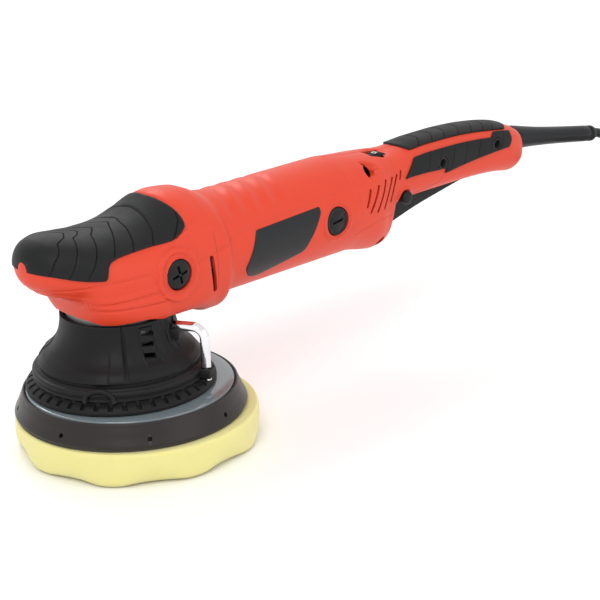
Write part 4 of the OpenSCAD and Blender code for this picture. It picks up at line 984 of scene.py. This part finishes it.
handle_x = spaced(187.04, 0.75, 250, 1.3, 378, 0.8, 391.9)
handle_a = np.concatenate([[0, 0.8, 1.6], spaced(3, 1.05, 177), [178.4, 179.2, 180]])
window = [(x, y) for x, y in rounded(DIAL_WINDOW, [1, 1.4, 1.2, 1.4])]
for side, tag in ((-1, "left"), (1, "right")):
    half = shell("handle_" + tag, HANDLE, handle_x, handle_a * 1.0, False, lambda x, a, p, s=side: handle_push(
        x, a, p * np.array([1, s, 1])))
    half.data.transform(Matrix.Diagonal((1, side, 1, 1)))
    if side < 0:
        half.data.flip_normals()
    half.data.transform(Matrix.Translation((0, side * 0.02 * MM, 0)))
    cuts = [box_between(SEAM_X + 52 - 1.5, SEAM_X + 52 + 91, -7.8, 7.8, 54, AXIS_Z - 4)]
    for top, low in VENTS:
        cuts.append(bar(low, top, 2.1, side * 14, side * 42))
    for x, z in HANDLE_SCREWS:
        cuts.append(cylinder_cut(x, side * 42 if side < 0 else 4, -4 if side < 0 else 42, z, 4.2, 40))
    n = len(window)
    verts = [(x, y, z) for z in (132, 152) for x, y in window]
    faces = [tuple(range(n))[::-1], tuple(range(n, 2 * n))]
    faces += [(i, (i + 1) % n, (i + 1) % n + n, i + n) for i in range(n)]
    cuts.append(add_mesh("cut", verts, faces))
    if side < 0:
        cuts.append(cylinder_cut(LOCK[0], -42, 0, LOCK[1], 5.3))
    carve(half, cuts)
    put(half, "tool", "red_shell", "handle_" + tag)


def on_handle(side):
    def put_on(u, v, d):
        p = HANDLE.point(u, v / DEG, d)
        return p * np.array([1, side, 1])
    return put_on


def polar(points):
    return [(x, a * DEG) for x, a in points]


def hole(x, z, r, n=28):
    """Round screw hole seen from the side, in the handle's flat coordinates."""
    t = np.linspace(0, 2 * math.pi, n, endpoint=False)
    hx, hz = x + r * np.cos(t), z + r * np.sin(t)
    return np.stack([hx, HANDLE.angle_at(hx, hz) * DEG], 1)


SIDE_GRIP = [(262.1, 53), (248.9, 87), (294.8, 96.5), (293.0, 106), (366.2, 83), (370.2, 66), (370.6, 44.8),
             (352.2, 44.8), (346.4, 56.5)]
TOP_GRIP = [(258.2, 0), (258.4, 12), (259.6, 26), (262.2, 36.5), (300, 38.5), (352, 41.5), (367, 41), (371.4, 30),
            (373.2, 14), (373.6, 0)]
side_grooves = [polar([(x0, 50), (x0 - 8.5, 110)]) for x0 in (279.5, 291.5, 306.4, 320.4, 335, 348.6, 361.5)]
for side, tag in ((-1, "left"), (1, "right")):
    grip = plate("side_grip_" + tag, rounded(polar(SIDE_GRIP), [1.6, 0.8, 0.6, 0.6, 2.4, 2.4, 0.4, 0.4, 0.6]),
                 on_handle(side), 1.35, 1.25, holes=[hole(291, 126, 4.3), hole(352, 128, 4.3)],
                 grooves=side_grooves, depth=0.5, half=0.4, edge=0.7)
    put(grip, "tool", "soft_grip", "side_grip_" + tag)

top_half = np.array(polar(TOP_GRIP))
top_outline = np.vstack([top_half, (top_half * (1, -1))[::-1][1:-1]])
top_grooves = []
for x0 in (279.8, 294.4, 307.8, 323.4, 338, 351, 362):
    half = [(x0, 0), (x0 - 1.0, 14), (x0 - 4.2, 26), (x0 - 9.8, 42)]
    line = polar(half)
    top_grooves.append(line[::-1] + [(x, -v) for x, v in line[1:]])
top = plate("top_grip", rounded(top_outline, 1.2), on_handle(1), 1.45, 1.3, grooves=top_grooves, depth=0.75,
            half=0.5, edge=0.9)
put(top, "tool", "soft_grip", "top_grip")

# Trigger: the lever's side view, drawn with a crowned underside and softened edges
TX, TL, TW = SEAM_X + 52, 88.0, 14.0
PIVOT = (TX + TL - 6, AXIS_Z - 6.5)
TRIGGER = [(TX + 1, 105), (TX, 90.4), (TX + 1.6, 87), (TX + 5.6, 86.7), (TX + 0.42 * TL, 94.6),
           (TX + 0.75 * TL, 99.6), (TX + TL, 103.4), (TX + TL + 1, 105), (PIVOT[0] + 4, 110.6),
           (PIVOT[0], 111.5), (PIVOT[0] - 4, 110), (PIVOT[0] - 10, 105)]
outline = resample(rounded(TRIGGER, [0.6, 2.5, 2.5, 2.5, 14, 12, 1, 1, 2, 2, 2, 2]), 1.2, True)


def crowned(outline, width, edge=1.3, name="crowned"):
    """Outline in XZ given thickness along Y, its long edges rounded."""
    rows = []
    for t in np.linspace(0, 1, 6):
        ang = t * math.pi / 2
        rows.append((-width / 2 + edge * (1 - math.sin(ang)), edge * (1 - math.cos(ang))))
    layers = [(y, c) for y, c in rows[::-1]]
    layers = [(-width / 2 + edge * (1 - math.cos(t)), edge * (1 - math.sin(t)))
              for t in np.linspace(0, math.pi / 2, 6)] + [(0, 0)]
    layers += [(-y, c) for y, c in layers[-2::-1]]
    rings = [offset_line(outline, c, True) for _, c in layers]
    centre = outline.mean(0)
    if np.linalg.norm(rings[0] - centre, axis=1).mean() > np.linalg.norm(outline - centre, axis=1).mean():
        rings = [offset_line(outline, -c, True) for _, c in layers]
    n = len(outline)
    verts = [(p[0], y, p[1]) for (y, _), ring in zip(layers, rings) for p in ring]
    faces = grid(len(layers), n, True) + [tuple(range(n))[::-1], tuple((len(layers) - 1) * n + j for j in range(n))]
    return add_mesh(name, verts, faces, 45)


trigger = crowned(outline, TW, 1.2, "trigger")
carve(trigger, [cylinder_cut(PIVOT[0], -9, 9, PIVOT[1], 2.03, 40)])
put(trigger, "trigger_body", "black_plastic", "trigger")

for side, tag in ((-1, "left"), (1, "right")):
    for k, (x, z) in enumerate(HANDLE_SCREWS[1:3]):
        y = abs(float(HANDLE.point(x, HANDLE.angle_at(np.array([float(x)]), np.array([float(z)]))[0])[1]))
        well = disc_on("screw_well_%s_%d" % (tag, k), [(3.4, 0.9), (4.16, 0.9), (4.16, -9), (3.4, -9), (3.4, 0.9)],
                       along_y(x, side * y, z, side), 48)
        put(well, "tool", "soft_grip")
lock = disc_on("lock_button", [(0, 2.9), (2.6, 2.85), (3.9, 2.6), (4.55, 2.05), (4.8, 1.2), (4.8, -3.4), (2, -3.4),
                               (2, -11.4), (0, -11.4)],
               along_y(LOCK[0], -float(HANDLE.point(LOCK[0], 100)[1]), LOCK[1], -1), 72)
put(lock, "lock_body", "black_plastic", "lock_button")

DIAL_Z = AXIS_Z + 29.7 - 13 + 0.3
wheel = disc_on("speed_dial", [(2.53, 4.6), (11.9, 4.6), (12.6, 4.2), (13, 3.6), (13, -3.6), (12.6, -4.2),
                               (11.9, -4.6), (2.53, -4.6), (2.53, 4.6)],
                along_y(DIAL_X, DIAL_Y, DIAL_Z), 288,
                push=lambda r, z, a: (np.where(r > 12, r - 0.55 * (np.sin(a * 36) > 0), r), z))
put(wheel, "dial_body", "black_plastic", "speed_dial")
digits = []
STROKES = {0: "abcdef", 1: "bc", 2: "abged", 3: "abgcd", 4: "fgbc", 5: "afgcd"}
SEGMENTS = {"a": (0, 1, 1, 0), "g": (0, 0, 1, 0), "d": (0, -1, 1, 0), "b": (0.5, 0.5, 0, 1), "c": (0.5, -0.5, 0, 1),
            "f": (-0.5, 0.5, 0, 1), "e": (-0.5, -0.5, 0, 1)}
for k in range(6):
    spin = along_y(DIAL_X, DIAL_Y, DIAL_Z) @ Matrix.Rotation(math.radians(-94 + 60 * k), 4, "Z")
    for c in STROKES[k]:
        cx, cy, horizontal, vertical = SEGMENTS[c]
        size = (0.3, 2.5 if horizontal else 0.6, 0.6 if horizontal else 2.0)
        place = spin @ Matrix.Translation(Vector((12.9, cx * 2.0, cy * 1.7)) * MM)
        digits.append(block("digit", size, place, 0))
digits = join("dial_digits", digits)
put(digits, "dial_body", "black_plastic", material=MAT["digit"])


# ---- Bell shroud, band and ring ---------------------------------------------
def turned(z0, *pairs):
    return [(r, z0 + z) for r, z in pairs]


def fine(profile, step=1.2):
    return [tuple(p) for p in resample(profile, step)]


outer = pchip([0, 3.4, 9.4, 16.6, 24, 26.2], [-1.8, -4.4, -10.8, -15, -17.2, -17.4])
bell_profile = [(52.2, 43.6), (54.0, 43.6), (54.4, 44.0), (54.4, 53.8), (54.1, 54.6), (53.2, 55.3), (51.6, 55.7),
                (51.4, 56.6), (51.7, 57.4), (52.5, 57.8)]
BELL_R = pchip([58, 60, 62.2, 65, 67.7, 71.5, 75.6, 81, 86, 89.4],
               [52.6, 51, 49.4, 46, 43.2, 40.7, 38.9, 37.5, 36.8, 36.7])
bell_profile += [(float(BELL_R(z)), z) for z in np.linspace(58.2, 89.4, 44)]
bell_profile += [(34.4, 89.4), (34.6, 80), (36.6, 74), (41, 66), (47, 60), (49, 54), (51.8, 52.6)]


def bell_push(r, z, a):
    deg = (np.degrees(a) + 180) % 360 - 180
    on = (z > 55.5) & (r > 36)
    d = np.zeros_like(r)
    for s in (-1, 1):
        t = s * deg
        # tall panel that carries the vent, with a step on each side
        panel = ramp(t, -122.6, -121.4) * (1 - ramp(t, -84.5, -83.3))
        d += 1.3 * panel * ramp(z, 57.5, 60.5) * (1 - 0.35 * ramp(z, 80, 88))
        d -= 0.8 * ridge(t + 124.2, 0.3, 0.9) * ramp(z, 60, 63)
        # facet in front of it and shallow flutes towards the key
        d += 0.9 * ramp(t, -137, -135.6) * (1 - ramp(t, -124.6, -123.4)) * ramp(z, 57.5, 59.5) * (1 - ramp(z, 66, 79))
        for c in (-74, -66):
            bend = c + 0.10 * (z - 70)
            d -= 0.9 * ridge(t - bend, 0.5, 1.6) * ramp(z, 66, 70) * (1 - ramp(z, 84, 88))
        # frame of the vent
        for lo, hi in ((-107.5, -92.5),):
            x = np.abs(t - (lo + hi) / 2 + 0.13 * (z - 76)) / ((hi - lo) / 2)
            y = np.abs(z - 76.5) / 11.5
            box = np.maximum(x, y)
            d -= 0.9 * (1 - ramp(box, 0.86, 0.98))
            d += 0.45 * ridge(box - 1.05, 0.03, 0.06)
    return np.where(on, r + d, r), z


bell = revolve("bell_shroud", bell_profile, 480, push=bell_push)
vents = []
for side in (-1, 1):
    for k in range(3):
        z = 69.8 + k * 6.6
        lean = math.radians(side * (100 + 0.13 * (z - 76) * -1))
        place = (Matrix.Rotation(lean, 4, "Z")
                 @ Matrix.Translation(Vector((float(BELL_R(z)) + 0.5, 0, z)) * MM)
                 @ Matrix.Rotation(math.radians(side * 8), 4, "X"))
        vents.append(block("cut", (9, 8.2, 3.0), place, 0.6))
vents.append(block("cut", (18, 7.6, 9), Matrix.Rotation(KEY_DIR, 4, "Z") @ Matrix.Translation(
    Vector((45, 0, 84.6)) * MM), 0.4))
carve(bell, vents)
collar = block("bell_clip", (8.4, 11.4, 6.4), Matrix.Rotation(KEY_DIR, 4, "Z") @ Matrix.Translation(
    Vector((39.4, 0, 76.2)) * MM), 0.8)
inner = revolve("bell_floor", [(22, 75.4), (35.4, 75.4), (35.4, 78.4), (22, 78.4)], 120)
put(bell, "tool", "black_shroud", "bell_shroud")
put(collar, "tool", "black_shroud")
put(inner, "tool", "black_shroud")

band = revolve("shroud_band", [(54.44, 47.2), (55.6, 47.2), (56.3, 47.7), (56.3, 49.2), (55.6, 49.8), (55.6, 50.4),
                               (56.6, 51), (56.8, 52), (56.6, 53), (56.0, 53.8), (54.44, 54.2)], 360)
lug = block("lug", (9, 10.4, 6.3), Matrix.Rotation(KEY_DIR, 4, "Z") @ Matrix.Translation(
    Vector((58.9, 0, 50.6)) * MM), 0.8)
carve(lug, [revolve("cut", [(0, 40), (3.85, 40), (3.85, 60), (0, 60)], 40,
                    centre=(59 * math.cos(KEY_DIR), 59 * math.sin(KEY_DIR)))])
arch_path = []
for t in np.linspace(-1, 1, 25):
    ang = math.radians(218 + 9.2 * t)
    rise = 5.2 * math.sqrt(max(0.0, 1 - t * t))
    arch_path.append((57.2 * math.cos(ang), 57.2 * math.sin(ang), 47.6 + 1.5 * rise))
arch = sweep("band_loop", arch_path, [(1.7 * math.cos(t), 1.7 * math.sin(t))
                                      for t in np.linspace(0, 2 * math.pi, 14, endpoint=False)],
             up=(math.cos(math.radians(218)), math.sin(math.radians(218)), 0))
put(band, "tool", "black_shroud", "shroud_band")
put(lug, "tool", "black_shroud")
put(arch, "tool", "black_shroud")


def ring_teeth(r, z, a):
    notch = (np.sin(a * 42) > 0.55) & (r > 56.0) & (r < 60.8) & (z > 43.5)
    return np.where(notch, r - 0.4, r), np.where(notch, z - 1.9, z)


ring = revolve("serrated_ring", [(52.4, 40), (60.6, 40), (61.4, 40.3), (61.7, 41), (61.6, 42.2), (61.2, 42.9),
                                 (60.7, 43.3), (60.2, 44.2), (59, 45), (57.6, 45.7), (56.2, 46.3), (55.2, 46.9),
                                 (54.5, 46.9), (54.5, 43.5), (52.4, 43.5)], 672, push=ring_teeth)
put(ring, "tool", "black_shroud", "serrated_ring")

# ---- Hex key ----------------------------------------------------------------
key_path = [(59.0, 0, z) for z in spaced(45, 1.5, 72.6)]
key_path += [(59.0 - 8 + 8 * math.cos(t), 0, 72.6 + 8 * math.sin(t)) for t in np.linspace(0.08, math.pi / 2, 16)]
key_path += [(x, 0, 80.6) for x in (49.5, 47, 44.5, 41.5, 38.2)]
hexagon = rounded([(3.46 * math.cos(t), 3.46 * math.sin(t)) for t in np.linspace(0, 2 * math.pi, 6, endpoint=False)],
                  0.45, 4)
ends = np.ones(len(key_path))
ends[0], ends[1], ends[-1] = 0.86, 1, 0.86
key_path[1] = (59.0, 0, 45.5)
key = sweep("hex_key", key_path, hexagon, sharp=28, scale=ends)
key.data.transform(Matrix.Rotation(KEY_DIR, 4, "Z"))
put(key, "key_body", "chrome", "hex_key")

# ---- Backing plate, disc and foam pad ---------------------------------------
rim_profile = [(14, 24.6), (74.6, 24.6), (75.2, 24.9), (75.4, 25.5), (75.2, 26.2), (74.7, 27.2), (74.0, 28.6),
               (73.2, 30.2), (72.5, 31.8), (71.9, 33.4), (71.3, 34.9), (70.7, 36.2), (70.2, 37.3), (69.9, 38.2),
               (69.7, 38.9), (69.3, 39.3), (68.8, 39.3), (68.4, 39.0), (68.2, 38.3), (67.9, 38.0), (60, 38.0),
               (4.2, 38.0), (4.2, 32.6), (14, 32.6)]
rng = np.random.default_rng(7)
rim_bumps = rng.normal(0, 1, 24)


def rim_push(r, z, a):
    wob = sum(rim_bumps[k] * np.cos((k + 3) * a + rim_bumps[-k - 1] * 6) for k in range(8)) * 0.03
    return r + np.where((r > 74) & (z < 26.5), wob, 0), z


plate_body = revolve("backing_plate", rim_profile, 300, ORBIT_C, push=rim_push, sharp=50)
holes = []
for k in range(8):
    a = math.radians(15 + 45 * k)
    place = (Matrix.Translation(Vector((ORBIT_C[0] + 73.6 * math.cos(a), ORBIT_C[1] + 73.6 * math.sin(a), 30.0)) * MM)
             @ Matrix.Rotation(a, 4, "Z") @ Matrix.Rotation(math.radians(74), 4, "Y"))
    pin = revolve("cut", [(0, -4), (1.55, -4), (1.55, 8), (0, 8)], 24)
    pin.data.transform(place)
    holes.append(pin)
carve(plate_body, holes, 50)
put(plate_body, "pad", "plate_rim", "backing_plate")

disc = revolve("plate_disc", [(12.2, 38.04), (67.3, 38.04), (67.5, 38.3), (67.4, 39.2), (67.0, 39.7), (66.2, 39.9),
                              (62, 39.94), (50, 39.94), (30, 39.94), (12.2, 39.94)], 240, ORBIT_C)
put(disc, "pad", "plate_disc", "plate_disc")

PAD_R = 79.0
PAD_H = 22.6
ring_r = pchip([0, 0.08, 0.22, 0.4, 0.6, 0.8, 0.93, 1], [0.905, 0.952, 0.985, 0.999, 1.004, 1.002, 0.998, 0.984])
pad_profile = [(PAD_R * r, 0) for r in (0.02, 0.1, 0.2, 0.3, 0.4, 0.5, 0.6, 0.7, 0.78, 0.84, 0.87)]
pad_profile += [(PAD_R * float(ring_r(t)), PAD_H * t) for t in np.linspace(0, 1, 26)[1:]]
pad_profile += [(PAD_R * r, PAD_H) for r in (0.976, 0.95, 0.8, 0.5, 0.2, 0.02)]
pad_wave = rng.normal(0, 1, (6, 3))


def pad_push(r, z, a):
    t = z / PAD_H
    low = np.interp(t, [0, 0.07, 0.2, 0.36, 0.6, 0.8, 1], [0, 0.75, 1, 0.9, 0.32, 0.06, 0]) * (r > 0.86 * PAD_R)
    wave = np.cos(9 * a + 0.35) + 0.25 * np.cos(4 * a + 1.1)
    uneven = sum(w * 0.22 * np.sin((5 + 7 * k) * a + u * 3 + t * v * 4) for k, (w, u, v) in enumerate(pad_wave))
    skin = (r > 0.9 * PAD_R) & (z > 0.5) & (z < PAD_H - 0.2)
    r2 = r - 0.9 * low * wave * (1 - t) + np.where(skin, uneven * 0.35, 0)
    return r2, np.clip(z + 2.1 * low * wave, 0, PAD_H)


pad = revolve("foam_pad", pad_profile, 420, PAD_C, push=pad_push, sharp=70)
put(pad, "pad", "foam", "foam_pad")

# ---- Boot and plug ----------------------------------------------------------
boot_profile = [(3.84, -9), (8.6, -9), (8.6, -7.4), (5.6, -7), (5.6, 2), (8.6, 2.6), (9.2, 3.4), (9.35, 6),
                (9.1, 12), (8.7, 18), (8.2, 25), (7.75, 32), (7.4, 40), (7.1, 50), (6.9, 60), (6.7, 72),
                (6.55, 84), (6.5, 95), (6.5, 102.6), (6.3, 103.8), (5.7, 104.4), (5.6, 105.2), (5.8, 106),
                (6.3, 106.6), (6.45, 107.6), (6.4, 110.4), (5.9, 111.6), (5.0, 112), (3.84, 112)]
boot = revolve("cord_boot", boot_profile, 96)
boot.data.transform(Matrix.Translation(BOOT * MM) @ Matrix.Rotation(math.radians(90) + BOOT_TILT, 4, "Y"))
put(boot, "tool", "cord_rubber", "cord_boot")

plug_x, plug_y, plug_z = PLUG_END
neck = revolve("plug_neck", [(3.84, 0), (5.2, 0), (5.7, 0.6), (5.9, 3), (5.4, 3.6), (6.2, 4.2), (6.5, 6.6),
                             (6.0, 7.2), (6.8, 7.8), (7.2, 10.4), (7.0, 14), (0, 14)], 72)
neck.data.transform(along_y(plug_x, plug_y, plug_z, -1))
body = block("plug_block", (35, 32, 16), Matrix.Translation(Vector((plug_x, plug_y - 28, plug_z)) * MM), 3.4, 5)
grip_cuts = []
for k in range(4):
    for s in (-1, 1):
        place = Matrix.Translation(Vector((plug_x + s * 17.6, plug_y - 18 - 4 * k, plug_z)) * MM)
        grip_cuts.append(block("cut", (3, 1.6, 12), place, 0.4))
for s in (-1, 1):
    grip_cuts.append(cylinder_cut(plug_x + s * PIN_GAP / 2, plug_y - 60, plug_y - 34, plug_z, PIN_ROOT_R, 32))
carve(body, grip_cuts)
plug = join("plug_body", [body, neck])
shade(plug)
put(plug, "tool", "cord_rubber", "plug_body")

cord.data.materials.append(MAT["cord_rubber"])
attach(cord, "tool")
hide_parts("cord_tube", "cord_coil")


# ---- Floor and light --------------------------------------------------------
def make_stage():
    mesh = bpy.data.meshes.new("floor")
    bm = bmesh.new()
    bmesh.ops.create_grid(bm, x_segments=1, y_segments=1, size=6)
    bm.to_mesh(mesh)
    bm.free()
    floor = bpy.data.objects.new("floor", mesh)
    floor.location.z = -0.0004
    scene.collection.objects.link(floor)
    floor.data.materials.append(finish("floor", (0.93, 0.93, 0.93), 0.7, grain=(800, 0.00001, 0.2), vary=0.02,
                                       painted_shade=0.0, edge=0.0))
    for name, place, size, power, aim in (
            ("key", (-1.3, -1.0, 1.9), 1.1, 17, (0.05, 0, 0.08)),
            ("fill", (0.6, -2.1, 0.9), 1.4, 5, (0.1, 0, 0.08)),
            ("rear", (0.9, 1.6, 1.7), 0.9, 12, (0.1, 0, 0.1))):
        data = bpy.data.lights.new(name, "AREA")
        data.shape = "SQUARE"
        data.size = size
        data.energy = power
        lamp = bpy.data.objects.new(name, data)
        lamp.location = place
        lamp.rotation_euler = (Vector(aim) - Vector(place)).to_track_quat("-Z", "Y").to_euler()
        scene.collection.objects.link(lamp)
    world = bpy.data.worlds.new("studio")
    world.use_nodes = True
    back = world.node_tree.nodes["Background"]
    back.inputs["Color"].default_value = (1, 1, 1, 1)
    back.inputs["Strength"].default_value = 0.95
    scene.world = world
    scene.view_settings.view_transform = "Standard"


make_stage()
